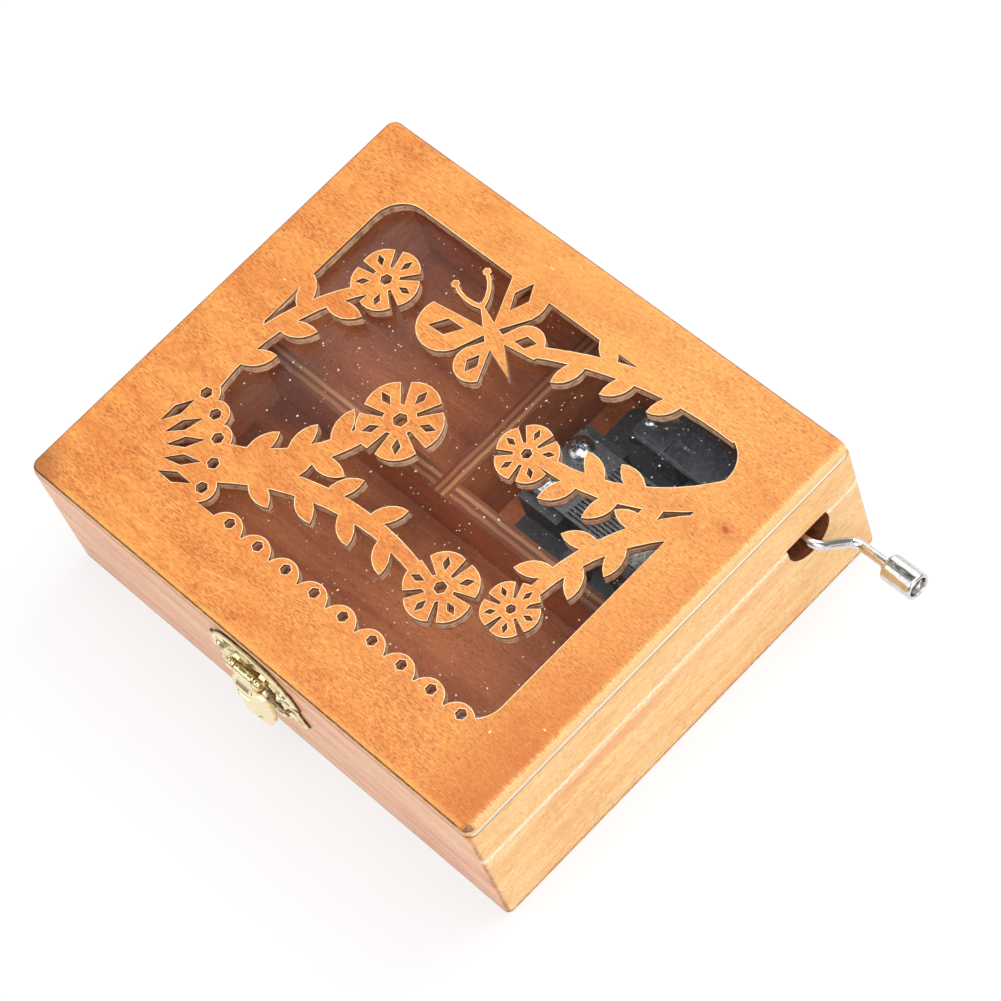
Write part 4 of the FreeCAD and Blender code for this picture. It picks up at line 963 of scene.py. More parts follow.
@dataclass(frozen=True)
class BoardWood(StainedWood):
    """A wall or rail: stained and lacquered outside, dark inside, with a painted highlight along its
    rounded rim.
    """

    inner: StainTones = field(kw_only=True)
    # The rim colour and the limits below paint a highlight along the rounded top rim, with a softer painted
    # glow under it.
    rim_highlight_low: float = 26.1
    rim_highlight_high: float = 26.4
    glow_low: float = 23.4
    rim: Colour = srgb(255, 244, 214)
    rim_highlight_share: float = 0.0
    foot: Colour = srgb(104, 50, 28)
    flushed: Colour = srgb(226, 126, 76)
    speckle: float = 0.0
    notch: Point | None = None
    notch_tone: Colour = srgb(104, 42, 24)

    def within(self, w: Wiring, place: Socket) -> Socket:
        """1 on the faces towards the inside of the box."""
        return w.times(*(w.ramp(w.math("ABSOLUTE", part), wall + 0.12, wall + 0.04, smooth=False)
                         for part, wall in zip(w.parts(place), (INNER_X, INNER_Y))))

    def lacquer(self, w: Wiring, place: Socket) -> object:
        """Lacquer on the outside only."""
        return w.ramp(self.within(w, place), 0.0, 1.0, self.coat, 0.0)

    def placed(self, w: Wiring, tone: Socket, place: Socket) -> Socket:
        """Adds the painted highlight along the rim, the dark foot, the specks, the rubbed corners, the
        inside and the notch.

        Args:
            w: The material's wiring.
            tone: The stained colour.
            place: Coordinates in millimetres.

        Returns:
            The colour.
        """
        x, y, z = w.parts(place)
        ragged = w.noise(place, 1.1, 4.0, 0.65)
        level = w.math("ADD", z, w.ramp(ragged, 0.2, 0.8, -0.16, 0.16))
        # Painted highlight: a soft glow up to the rim and a crisp pale line on the rim itself.
        if self.rim_highlight_share:
            tone = w.over(tone, self.rim, w.ramp(level, self.glow_low, self.rim_highlight_high),
                          w.ramp(ragged, 0.3, 0.7, 0.1, 0.45), self.rim_highlight_share)
            tone = w.over(tone, self.rim, w.ramp(level, self.rim_highlight_low, self.rim_highlight_high), self.rim_highlight_share)
        # The same pale colour is laid along the bottom edge, below z 0.95.
        tone = w.over(tone, self.rim, w.ramp(level, 0.95, 0.7), 0.6)
        tone = w.over(tone, self.foot, w.band(level, 1.1, 1.5, 0.2), 0.75)
        along = self.coordinates(w)
        if self.speckle:
            pores = w.ramp(w.noise(along, (1.3, 3.6, 3.6), 3.0, 0.75), 0.40, 0.66)
            tone = w.over(tone, self.tones.dark, pores, self.speckle)
            lit = w.ramp(w.noise(along, (0.8, 3.4, 3.4), 3.0, 0.7), 0.48, 0.66)
            tone = w.over(tone, self.tones.light, lit, self.speckle)
            flush = w.ramp(w.noise(along, (0.03, 0.22, 0.22), 3.0, 0.6), 0.40, 0.62)
            tone = w.over(tone, self.flushed, flush, w.band(z, 21.5, 24.0, 1.8), 0.4)
        out = w.math("ADD", w.math("ABSOLUTE", x), w.math("ABSOLUTE", y))
        arris = w.band(w.math("SUBTRACT", out, HALF_WIDTH + HALF_DEPTH), -0.95, -0.6, 0.15)
        tone = w.over(tone, self.foot, arris, w.ramp(ragged, 0.35, 0.6, 0.15, 0.6))
        inside = StainedWood(self.name, self.inner, band_scale=1.6, band_share=0.55, fleck_limit=0.58)
        tone = w.mix(self.within(w, place), tone, inside.stained(w, along)[0])
        if self.notch:
            *middle, radius = self.notch
            across = w.vector("MULTIPLY", place, (0.0, 1.0, 1.0))
            from_axis = w.number("LENGTH", w.vector("SUBTRACT", across, (0.0, *middle)))
            tone = w.over(tone, self.notch_tone, w.ramp(from_axis, radius + 0.12, radius + 0.03),
                          w.ramp(x, 0.0, 1.0), w.ramp(ragged, 0.3, 0.7, 0.85, 1.0))
        return tone


# Marks on the panel's top: scratches as (start, end, half width), chips as (centre, stretch)
SCRATCHES = (((-20.4, -51.9), (-11.5, -49.6), 0.09), ((-13.6, -55.4), (-10.2, -49.0), 0.07),
             ((-16.2, -53.2), (-9.4, -52.0), 0.07), ((31.0, 52.1), (38.5, 54.6), 0.07))
CHIPS = (((59.2, -39.1, 42.0), (1.6, 1.0, 1.0)), ((68.1, -31.3, 42.0), (1.0, 2.2, 1.0)),
         ((-60.4, 12.0, 42.0), (1.0, 2.6, 1.0)), ((-12.0, 52.0, 42.0), (0.6, 3.0, 1.0)))


@dataclass(frozen=True)
class PanelWood(StainedWood):
    """The lid's panel: stained plywood, pale with fraying and a painted highlight at its right edge, dark
    at the others, painted lighter towards its right and back, with marks.
    """

    # This pale colour is painted light: the top is laid paler towards its right and back, and along its
    # front edge as a painted highlight.
    pale: Colour = srgb(250, 190, 104)
    # The pale fibre colour: real fraying, scratches and chips, and also a painted highlight over the
    # rounded right edge.
    frayed_and_highlight: Colour = srgb(255, 222, 162)
    burnt: Colour = srgb(104, 46, 26)
    knot: Colour = srgb(176, 74, 30)
    under: Colour = srgb(146, 84, 50)
    layer: Colour = srgb(228, 152, 84)
    # The right side's bare layer colour is painted near white, for the light falling on that side; the
    # other sides keep the tan one.
    bare_left: Colour = srgb(224, 156, 104)
    lit_bare_right: Colour = srgb(255, 240, 210)

    def placed(self, w: Wiring, tone: Socket, place: Socket) -> Socket:
        """Adds painted light that grows towards the right and back, the fraying and painted highlight at
        the right edge, scratches, knot and chips, and the layers on the side.

        Args:
            w: The material's wiring.
            tone: The stained colour.
            place: Coordinates in millimetres.

        Returns:
            The colour.
        """
        x, y, z = w.parts(place)
        dark = self.tones.dark
        below = w.mix(0.55, tone, self.under)
        # Painted light: the top grows paler towards the right and back, where the light falls, wavering
        # with a slow noise.
        drift = w.noise(place, 0.06, 3.0, 0.6)
        light_slope = w.math("ADD", w.math("MULTIPLY", x, 0.012), w.math("MULTIPLY", y, 0.010))
        tone = w.over(tone, self.pale, w.ramp(w.math("ADD", light_slope, drift), 0.35, 1.25), 0.36)
        patches = w.noise(place, (0.045, 0.10, 0.10), 4.0, 0.62, 0.6)
        tone = w.over(tone, dark, w.ramp(patches, 0.50, 0.70), 0.30)
        for cells, detail, rough, limits, shares, colour in (
                ((1.1, 4.5, 4.5), 3.0, 0.7, (0.42, 0.66), (0.12, 0.42), dark),
                ((0.6, 3.0, 3.0), 3.0, 0.65, (0.52, 0.70), (0.10, 0.34), self.frayed_and_highlight),
                ((0.85, 3.6, 3.6), 2.0, 0.5, (0.56, 0.66), (0.15, 0.55), self.tones.fleck)):
            dots = w.ramp(w.noise(place, cells, detail, rough), *limits)
            tone = w.over(tone, colour, dots, w.ramp(x, -20.0, 50.0, *shares))
        streaks = w.noise(place, (0.5, 7.0, 5.0), 4.0, 0.7)
        reach = w.math("ADD", x, w.ramp(streaks, 0.3, 0.7, -0.7, 0.7))
        tone = w.over(tone, dark, w.ramp(w.math("ADD", reach, w.math("MULTIPLY", drift, 16.0)), 56.0, 78.0),
                      w.ramp(reach, 71.4, 69.8), w.ramp(y, 20.0, -40.0, 0.15, 0.62))
        # Fraying and a painted highlight: pale streaks over the rounded right edge.
        tone = w.over(tone, self.frayed_and_highlight, w.ramp(reach, 70.7, 72.0), w.ramp(streaks, 0.35, 0.60, 0.10, 0.62))
        faint = w.ramp(streaks, 0.35, 0.6, 0.05, 0.4)
        for scratch in SCRATCHES:
            tone = w.over(tone, self.frayed_and_highlight, w.scratch(place, *scratch), faint)
        # Painted highlight: a pale band along the rounded front edge of the top, fading out towards the
        # left corner.
        front = w.ramp(w.math("ADD", y, w.math("MULTIPLY", streaks, 1.2)), -56.6, -58.0)
        tone = w.over(tone, self.pale, front, w.ramp(x, -66.0, -58.0, 0.0, 0.4))
        tone = w.over(tone, self.burnt, w.spot(place, (-72.5, -59.2, 42.0), 7.0, 6.0), 0.55)
        bent = w.vector("ADD", place, w.vector("MULTIPLY", w.noise(place, 0.9, 2.0), (0.9, 0.9, 0.0)))
        tone = w.over(tone, self.knot, w.spot(bent, (65.8, 27.8, 42.0), 0.85, 0.35, (0.8, 1.25, 1.0)), 0.85)
        tone = w.over(tone, self.knot, w.spot(bent, (65.6, 28.0, 42.0), 2.1, 1.5, (0.6, 1.2, 1.0)), 0.35)
        ragged = w.noise(place, 1.4, 3.0, 0.6)
        tone = w.over(tone, self.burnt, w.spot(place, (72.2, -58.6, 41.6), 1.9, 0.9),
                      w.ramp(ragged, 0.3, 0.55, 0.6, 1.0))
        for centre, stretch in CHIPS:
            tone = w.over(tone, self.frayed_and_highlight, w.spot(place, centre, 0.42, 0.14, stretch), 0.85)
        # The side's upper layer carries the fraying and painted highlight down from the top edge; the bare
        # layer below is painted near white on the right side only, as painted light for the lit side.
        fringe = w.mix(w.ramp(streaks, 0.38, 0.62), self.layer, self.frayed_and_highlight)
        bare = w.mix(w.ramp(x, 71.9, 72.2), self.bare_left, self.lit_bare_right)
        layers = w.mix(w.ramp(z, 40.5, 40.2), fringe, bare)
        layers = w.over(layers, self.burnt, w.noise(place, (0.5, 0.5, 3.0), 3.0, 0.6), 0.22)
        layers = w.over(layers, self.burnt, w.ramp(z, 39.45, 39.2), 0.9)
        tone = w.mix(w.ramp(z, 41.45, 41.15), tone, layers)
        away = w.math("MAXIMUM", w.ramp(x, -71.2, -71.8), w.ramp(w.math("ABSOLUTE", y), 58.0, 58.6))
        thin = w.times(away, w.ramp(x, 71.0, 68.0), w.band(z, 41.45, 41.7, 0.1))
        thin = w.math("MAXIMUM", thin, w.times(w.ramp(x, -71.65, -71.9), w.ramp(z, 41.2, 41.4)))
        tone = w.over(tone, self.burnt, thin, w.ramp(ragged, 0.3, 0.6, 0.55, 0.95))
        return w.mix(w.ramp(z, PANEL_BOTTOM + 0.06, PANEL_BOTTOM + 0.02, smooth=False), tone, below)


@dataclass(frozen=True)
class CutPly(Finish):
    """The laser-cut walls of the fretwork: charred layers of plywood."""

    name: str = "charred_cut"
    char: Colour = srgb(86, 42, 26)
    core: Colour = srgb(236, 186, 146)

    def paint(self, w: Wiring, shader: Node) -> None:
        """Wires the core under its burnt layers.

        Args:
            w: The material's wiring.
            shader: Its shader.
        """
        place = w.millimetres()
        burn = w.noise(place, (0.55, 0.55, 0.4), 4.0, 0.62)
        level = w.math("ADD", w.parts(place)[2], w.ramp(burn, 0.3, 0.7, -0.18, 0.18))
        tone = w.mix(w.ramp(burn, 0.25, 0.60, 0.35, 1.0), self.char, self.core)
        for layer, share in ((w.band(level, 40.05, 40.35, 0.14), 0.35), (w.ramp(level, 41.05, 41.5), 0.92),
                             (w.ramp(level, 39.6, 39.2), 0.7)):
            tone = w.over(tone, self.char, layer, share)
        w.fill(shader, Base_Color=tone, Roughness=w.ramp(burn, 0.3, 0.7, 0.55, 0.75))
        w.bump(shader, burn, 0.4, 0.08)


@dataclass(frozen=True)
class Mottled(Finish):
    """Two colours that a soft noise mixes, as on the pale rim round a cut, dried glue or dust."""

    first: Colour
    second: Colour
    cells: float
    limits: Pair
    roughness: Pair
    detail: float = 3.0
    noise_roughness: float = 0.6
    alpha: float = 1.0
    bump_mm: float = 0.0

    def paint(self, w: Wiring, shader: Node) -> None:
        """Wires the mix.

        Args:
            w: The material's wiring.
            shader: Its shader.
        """
        patchy = w.noise(w.millimetres(), self.cells, self.detail, self.noise_roughness)
        w.fill(shader, Base_Color=w.mix(w.ramp(patchy, *self.limits), self.first, self.second),
               Roughness=w.ramp(patchy, 0.3, 0.7, *self.roughness), Alpha=self.alpha)
        if self.bump_mm:
            w.bump(shader, patchy, 0.3, self.bump_mm)


# The pale ring round each cut: partly the cut's own pale edge, partly a painted highlight on its eased
# edge.
PALE_RIM_AND_HIGHLIGHT = Mottled("pale_rim_and_highlight", srgb(255, 226, 176), srgb(240, 180, 112), 0.5, (0.42, 0.72), (0.4, 0.55))
DRIED_GLUE = Mottled("dried_glue", srgb(132, 134, 150), srgb(190, 190, 204), 0.9, (0.35, 0.65), (0.12, 0.3),
                     alpha=0.62, bump_mm=0.1)
PALE_DUST = Mottled("pale_dust", srgb(250, 246, 240), srgb(222, 204, 182), 0.4, (0.35, 0.65), (0.7, 0.9),
                    detail=2.0, noise_roughness=0.5)


@dataclass(frozen=True)
class PlyEdge(StainedWood):
    """A divider of plywood: stained faces, and its layers showing on top."""

    across: Axis = Axis.Y
    low: float = -1.0
    high: float = 3.8
    top: float = 24.5
    stripes: tuple[Colour, ...] = (srgb(112, 58, 36), srgb(164, 104, 66), srgb(116, 62, 38),
                                   srgb(186, 128, 84), srgb(124, 72, 44))

    def placed(self, w: Wiring, tone: Socket, place: Socket) -> Socket:
        """Adds the layers, each an equal share of the thickness.

        Args:
            w: The material's wiring.
            tone: The stained colour.
            place: Coordinates in millimetres.

        Returns:
            The colour.
        """
        split = w.parts(place)
        wander = w.ramp(w.noise(place, 0.15, 2.0, 0.5), 0.3, 0.7, -0.12, 0.12)
        depth = w.math("ADD", split[self.across.value], wander)
        layered, pitch = self.stripes[0], (self.high - self.low) / len(self.stripes)
        for k, stripe in enumerate(self.stripes[1:], start=1):
            joint = self.low + pitch * k
            layered = w.mix(w.ramp(depth, joint - 0.08, joint + 0.08), layered, stripe)
        layered = w.over(layered, self.tones.dark, w.noise(place, (0.4, 0.4, 2.0), 3.0, 0.6), 0.35)
        return w.mix(w.ramp(split[2], self.top - 0.10, self.top - 0.02, smooth=False), tone, layered)


@dataclass(frozen=True)
class Metal(Finish):
    """A bare or plated metal, or a plastic, with faint scratches, smudges and a painted highlight along its
    edges.
    """

    body: Colour
    worn: Colour
    roughness: float = 0.25
    metallic: float = 1.0
    wear: float = 0.3
    scratch_mm: float = 0.02
    # The edge width and colour paint a highlight in that colour near sharp edges, where the shading normal
    # is rounded too.
    edge_mm: float = 0.0
    edge: Colour = srgb(220, 220, 218)
    dust: float = 0.0
    dust_tone: Colour = srgb(214, 214, 212)
    coat: float = 0.0

    def paint(self, w: Wiring, shader: Node) -> None:
        """Wires the metal under its wear.

        Args:
            w: The material's wiring.
            shader: Its shader.
        """
        wear, normal = WEAR.place(w, Vector=w.millimetres()), None
        tone = w.over(self.body, self.worn, wear["Smudge"], self.wear)
        # Painted highlight: the edge colour laid near sharp edges.
        if self.edge_mm:
            near = EDGE.place(w, Reach=self.edge_mm * MM)
            tone, normal = w.over(tone, self.edge, near["Edge"], 0.55), near["Normal"]
        if self.dust:
            tone = w.over(tone, self.dust_tone, wear["Dust"], self.dust)
        rough = w.math("ADD", w.math("MULTIPLY", wear["Smudge"], 0.12), self.roughness)
        rough = w.math("ADD", rough, w.math("MULTIPLY", wear["Scratch"], 0.10))
        w.fill(shader, Base_Color=tone, Roughness=rough, Metallic=self.metallic, Coat_Weight=self.coat)
        w.bump(shader, wear["Scratch"], 0.25, self.scratch_mm, normal)


@dataclass(frozen=True)
class AntiqueBrass(Finish):
    """Stamped brass: bright on its crests, brown in its hollows."""

    name: str = "antique_brass_relief"
    crest: Colour = srgb(252, 238, 196)
    middle: Colour = srgb(222, 194, 134)
    hollow: Colour = srgb(66, 46, 28)

    def paint(self, w: Wiring, shader: Node) -> None:
        """Wires the brass, which reads the piece's own relief attribute.

        Args:
            w: The material's wiring.
            shader: Its shader.
        """
        relief = w.node("Attribute", attribute_name="relief").outputs["Fac"]
        place = w.millimetres()
        wear = WEAR.place(w, Vector=place)
        level = w.math("ADD", relief, w.ramp(w.noise(place, 1.1, 3.0, 0.6), 0.3, 0.7, -0.1, 0.1))
        tone = w.mix(w.ramp(level, 0.10, 0.34), self.hollow, self.middle)
        tone = w.mix(w.ramp(level, 0.38, 0.70), tone, self.crest)
        w.fill(shader, Base_Color=w.over(tone, self.middle, wear["Smudge"], 0.12),
               Roughness=w.ramp(level, 0.15, 0.7, 0.48, 0.17), Metallic=w.ramp(level, 0.10, 0.4, 0.7, 1.0))
        w.bump(shader, wear["Scratch"], 0.25, 0.02)


@dataclass(frozen=True)
class ClearPlastic(Finish):
    """The clear pane: light passes it without being scattered."""

    name: str = "clear_pane"

    def paint(self, w: Wiring, shader: Node) -> None:
        """Wires the pane, clear but for a faint smear."""
        smear = w.ramp(w.noise(w.millimetres(), 0.05, 3.0, 0.6), 0.4, 0.75, 0.01, 0.05)
        w.fill(shader, Base_Color=(0.97, 0.985, 0.99), Roughness=smear, IOR=1.49, Transmission_Weight=1.0)

    def surface(self, w: Wiring, shader: Node) -> Socket:
        """The pane, left out for shadow rays.

        Args:
            w: The material's wiring.
            shader: Its shader.

        Returns:
            The mix.
        """
        shadow = w.node("LightPath").outputs["Is Shadow Ray"]
        clear = w.node("BsdfTransparent").outputs[0]
        return w.node("MixShader", shadow, shader.outputs[0], clear).outputs[0]


@dataclass(frozen=True)
class PaleTable(Finish):
    """A pale floor that shows near white to the camera and keeps the object's shadow."""

    name: str = "pale_table"
    glow_share: float = 0.68

    def paint(self, w: Wiring, shader: Node) -> None:
        """Wires the matt floor."""
        w.fill(shader, Base_Color=(0.86, 0.85, 0.86), Roughness=0.9)

    def surface(self, w: Wiring, shader: Node) -> Socket:
        """The floor, with an even glow for rays that show it.

        Args:
            w: The material's wiring.
            shader: Its shader.

        Returns:
            The mix.
        """
        path = w.node("LightPath").outputs
        seen = w.math("MAXIMUM", path["Is Camera Ray"], path["Is Glossy Ray"])
        seen = w.math("MAXIMUM", seen, path["Is Transmission Ray"])
        share, glow = w.math("MULTIPLY", seen, self.glow_share), w.node("Emission").outputs[0]
        return w.node("MixShader", share, shader.outputs[0], glow).outputs[0]


def dress(finish: Finish, *names: str) -> None:
    """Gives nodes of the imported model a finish.

    Args:
        finish: The finish.
        names: Names of the nodes.
    """
    material = finish.build()
    for name in names:
        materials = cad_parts[name].data.materials
        materials.clear()
        materials.append(material)
        log.info("dressed %s in %s", name, material.name)


# Sub-assemblies

@dataclass
class Case:
    """The wooden case and the lid's rails."""

    # Painted light: the front tones are pinker and darker than the side tones, standing in for the shade
    # and pinkish fill light on the front boards.
    front_shaded_tones: StainTones = StainTones(srgb(255, 174, 112), srgb(214, 122, 72), srgb(255, 198, 138),
                                         srgb(158, 80, 48))
    side_lit_tones: StainTones = StainTones(srgb(255, 202, 112), srgb(224, 142, 66), srgb(255, 232, 166),
                                        srgb(178, 92, 40))
    inner_tones: StainTones = StainTones(srgb(200, 110, 60), srgb(146, 70, 36), srgb(224, 138, 82),
                                         srgb(96, 46, 26))
    # Painted light: the side walls' inner tones are lighter than the other inner tones, for the light
    # falling on the inside of the left wall.
    side_inner_lit_tones: StainTones = StainTones(srgb(226, 138, 84), srgb(168, 90, 52), srgb(242, 166, 112),
                                              srgb(110, 56, 34))
    notch: Point = (42.5, 25.3, 6.4)

    def boards(self) -> None:
        """Dresses the walls, with a painted highlight on their rims at the seam, and the lid's rails."""
        front = dict(tones=self.front_shaded_tones, inner=self.inner_tones, fleck_limit=0.64, fleck_share=0.4,
                     mottle_share=0.15)
        side = dict(tones=self.side_lit_tones, inner=self.side_inner_lit_tones, along=Axis.Y, fleck_limit=0.58,
                    fleck_share=0.5, fibre_share=0.5)
        dress(BoardWood("front_pine", band_scale=2.4, band_share=0.75, rim_highlight_share=0.5, **front),
              "case_front_wall", "case_back_wall")
        dress(BoardWood("side_pine", band_scale=2.4, band_share=0.6, rim_highlight_share=0.95, speckle=0.5,
                        notch=self.notch, **side), "case_left_wall", "case_right_wall")
        dress(BoardWood("lid_front_pine", shift=(17.0, 3.0, 11.0), band_scale=2.0, band_share=0.6, **front),
              "lid_front_rail", "lid_back_rail")
        dress(BoardWood("lid_side_pine", shift=(5.0, 23.0, 41.0), band_scale=1.8, band_share=0.5,
                        speckle=0.46, **side), "lid_left_rail", "lid_right_rail")

    def build(self) -> None:
        """Dresses the boards, the bottom and the dividers."""
        self.boards()
        inner = self.inner_tones
        dress(StainedWood("floor_plywood", inner, band_scale=1.4, band_share=0.6, fleck_limit=0.57,
                          fleck_share=0.55, gloss_roughness=0.5, coat=0.0), "bottom_board")
        dress(PlyEdge("long_divider_ply", inner, band_scale=1.8), "long_divider")
        dress(PlyEdge("short_divider_ply", inner, Axis.Y, band_scale=1.8, across=Axis.X, low=-3.6,
                      high=1.2), "short_divider")


@dataclass
class Fretwork:
    """The pierced plywood panel with its pale cut rims, and the clear pane with dust and glue on it."""

    wood: PanelWood = PanelWood(
        "panel_plywood",
        StainTones(srgb(246, 164, 80), srgb(192, 98, 38), srgb(250, 182, 98), srgb(158, 66, 24)),
        band_scale=1.3, band_share=0.3, fleck_limit=0.53, fleck_share=0.65, fibre_share=0.66,
        mottle_share=0.5, gloss_roughness=0.42, coat=0.15)
    rim_width: float = 0.2
    grains: int = 900
    glue_top: float = 0.35
    beads: tuple[tuple[Pair, float, float, float, float], ...] = (
        ((48.6, -32.6), 7.6, -86.0, -18.0, 0.95), ((38.0, -30.8), 9.4, -112.0, -72.0, 1.05))

    def panel(self) -> None:
        """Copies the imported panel, and sets off a narrow ring round every opening in its top."""
        work = bmesh.new()
        work.from_mesh(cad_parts["fretwork_panel"].data)
        bmesh.ops.remove_doubles(work, verts=work.verts, dist=2e-6)
        bmesh.ops.dissolve_degenerate(work, edges=work.edges, dist=1e-7)
        work.normal_update()
        top = [f for f in work.faces if all(abs(v.co.z - PANEL_TOP * MM) < 1e-6 for v in f.verts)]
        ring = set(bmesh.ops.inset_region(work, faces=top, thickness=self.rim_width * MM, use_boundary=True,
                                          use_even_offset=False)["faces"])
        work.normal_update()
        margin = 1.0
        x0, x1, y0, y1 = WINDOW
        on_top, on_rim, on_wall = range(3)
        for face in work.faces:
            x, y, _ = face.calc_center_median() / MM
            face.material_index = on_top
            if x0 - margin < x < x1 + margin and y0 - margin < y < y1 + margin:
                if face in ring:
                    face.material_index = on_rim
                elif abs(face.normal.z) < 0.5:
                    face.material_index = on_wall
        mesh = bpy.data.meshes.new("panel_fretwork")
        work.to_mesh(mesh)
        work.free()
        finishes = [finish.build() for finish in (self.wood, PALE_RIM_AND_HIGHLIGHT, CutPly())]
        hang("panel_fretwork", mesh, Body.LID, finishes, "fretwork_panel", 30)

    def dust(self) -> None:
        """Grains on the pane: six-pointed lumps, point = place + size * corner, sizes and places seeded."""
        chance = np.random.default_rng(41)
        x0, x1, y0, y1 = WINDOW
        middle = np.stack([chance.uniform(x0 + 1, x1 - 1, self.grains),
                           chance.uniform(y0 + 1, y1 - 1, self.grains),
                           np.full(self.grains, PANEL_BOTTOM + 0.03)], axis=1)
        size = np.clip(chance.lognormal(-2.25, 0.40, self.grains), 0.06, 0.26)
        turn = chance.uniform(0, np.pi, self.grains)[:, None]
        x, y, z = np.array([[1.5, 0, 0], [0, 1, 0], [-1.5, 0, 0], [0, -1, 0], [0, 0, 0.6], [0, 0, -0.3]]).T
        spun = np.stack([x * np.cos(turn) - y * np.sin(turn), x * np.sin(turn) + y * np.cos(turn),
                         np.broadcast_to(z, (self.grains, 6))], axis=-1)
        points = middle[:, None] + size[:, None, None] * spun
        faces = np.array([[0, 1, 4], [1, 2, 4], [2, 3, 4], [3, 0, 4],
                          [1, 0, 5], [2, 1, 5], [3, 2, 5], [0, 3, 5]])
        faces = (faces[None] + 6 * np.arange(self.grains)[:, None, None]).reshape(-1, 3)
        add_piece("pane_dust", [Shape(points.reshape(-1, 3), (faces,))], Body.LID, PALE_DUST.build(),
                  sharp_degrees=20)

    def glue(self) -> None:
        """Two squeezed-out beads of glue on the pane, along the window's front right corner.

        A bead is a flattened rod along an arc, point(a) = centre + radius * (cos a, sin a), whose
        thickness swells as sin(pi * s) and whose height is a share of its width.
        """
        share, shapes = np.linspace(0.0, 1.0, 40), []
        for centre, radius, first, last, width in self.beads:
            angle = np.radians(first + (last - first) * share)
            path = np.stack([centre[0] + radius * np.cos(angle), centre[1] + radius * np.sin(angle),
                             np.full(len(share), PANEL_BOTTOM + 0.01)], axis=1)
            bead = swept(path, width * np.sin(np.pi * share) ** 0.7 + 0.02, UP, 20, self.glue_top)
            bead.points[:, 2] = np.maximum(bead.points[:, 2], PANEL_BOTTOM + 0.005)
            shapes.append(bead)
        add_piece("glue_beads", shapes, Body.LID, DRIED_GLUE.build())

    def build(self) -> None:
        """Builds the panel, and dresses the pane and what lies on it."""
        self.panel()
        dress(ClearPlastic(), "clear_pane")
        self.dust()
        self.glue()


@dataclass
class Hinges:
    """Two butt hinges on the back, with cross-headed screws."""

    middle_x: float = 45.0
    screw_offset: float = 5.0
    screw_height: float = 5.4
    seam_z: float = 27.075
    leaf_out: float = 0.8
    head_radius: float = 1.35
    rim_height: float = 0.14
    crown: float = 0.16
    recess: float = 0.3
    # The leaves' edge colour is a painted highlight along their edges.
    leaf: Metal = Metal("plated_brass", srgb(222, 186, 108), srgb(158, 120, 62), 0.24, edge_mm=0.15,
                        edge=srgb(246, 222, 160))
    screw: Metal = Metal("brass_screw", srgb(228, 198, 128), srgb(150, 116, 62), 0.2)

    def build(self) -> None:
        """Dresses the leaves and builds the screw heads, four below the seam and four above."""
        dress(self.leaf, *(f"hinge_{side}_{part}" for side in ("left", "right")
                           for part in ("case_leaf", "lid_leaf", "pin")))
        screw, y = self.screw.build(), HALF_DEPTH + self.leaf_out - self.rim_height
        for part, body, way in (("case", Body.BOX, -1), ("lid", Body.LID, 1)):
            z = self.seam_z + way * self.screw_height
            heads = [cross_head((side * self.middle_x + offset, y, z), BACK, self.head_radius,
                                self.rim_height, self.crown, self.recess)
                     for side in (-1, 1) for offset in (-self.screw_offset, self.screw_offset)]
            add_piece(f"hinge_{part}_screw_heads", heads, body, screw, f"hinge_{part}_screws")


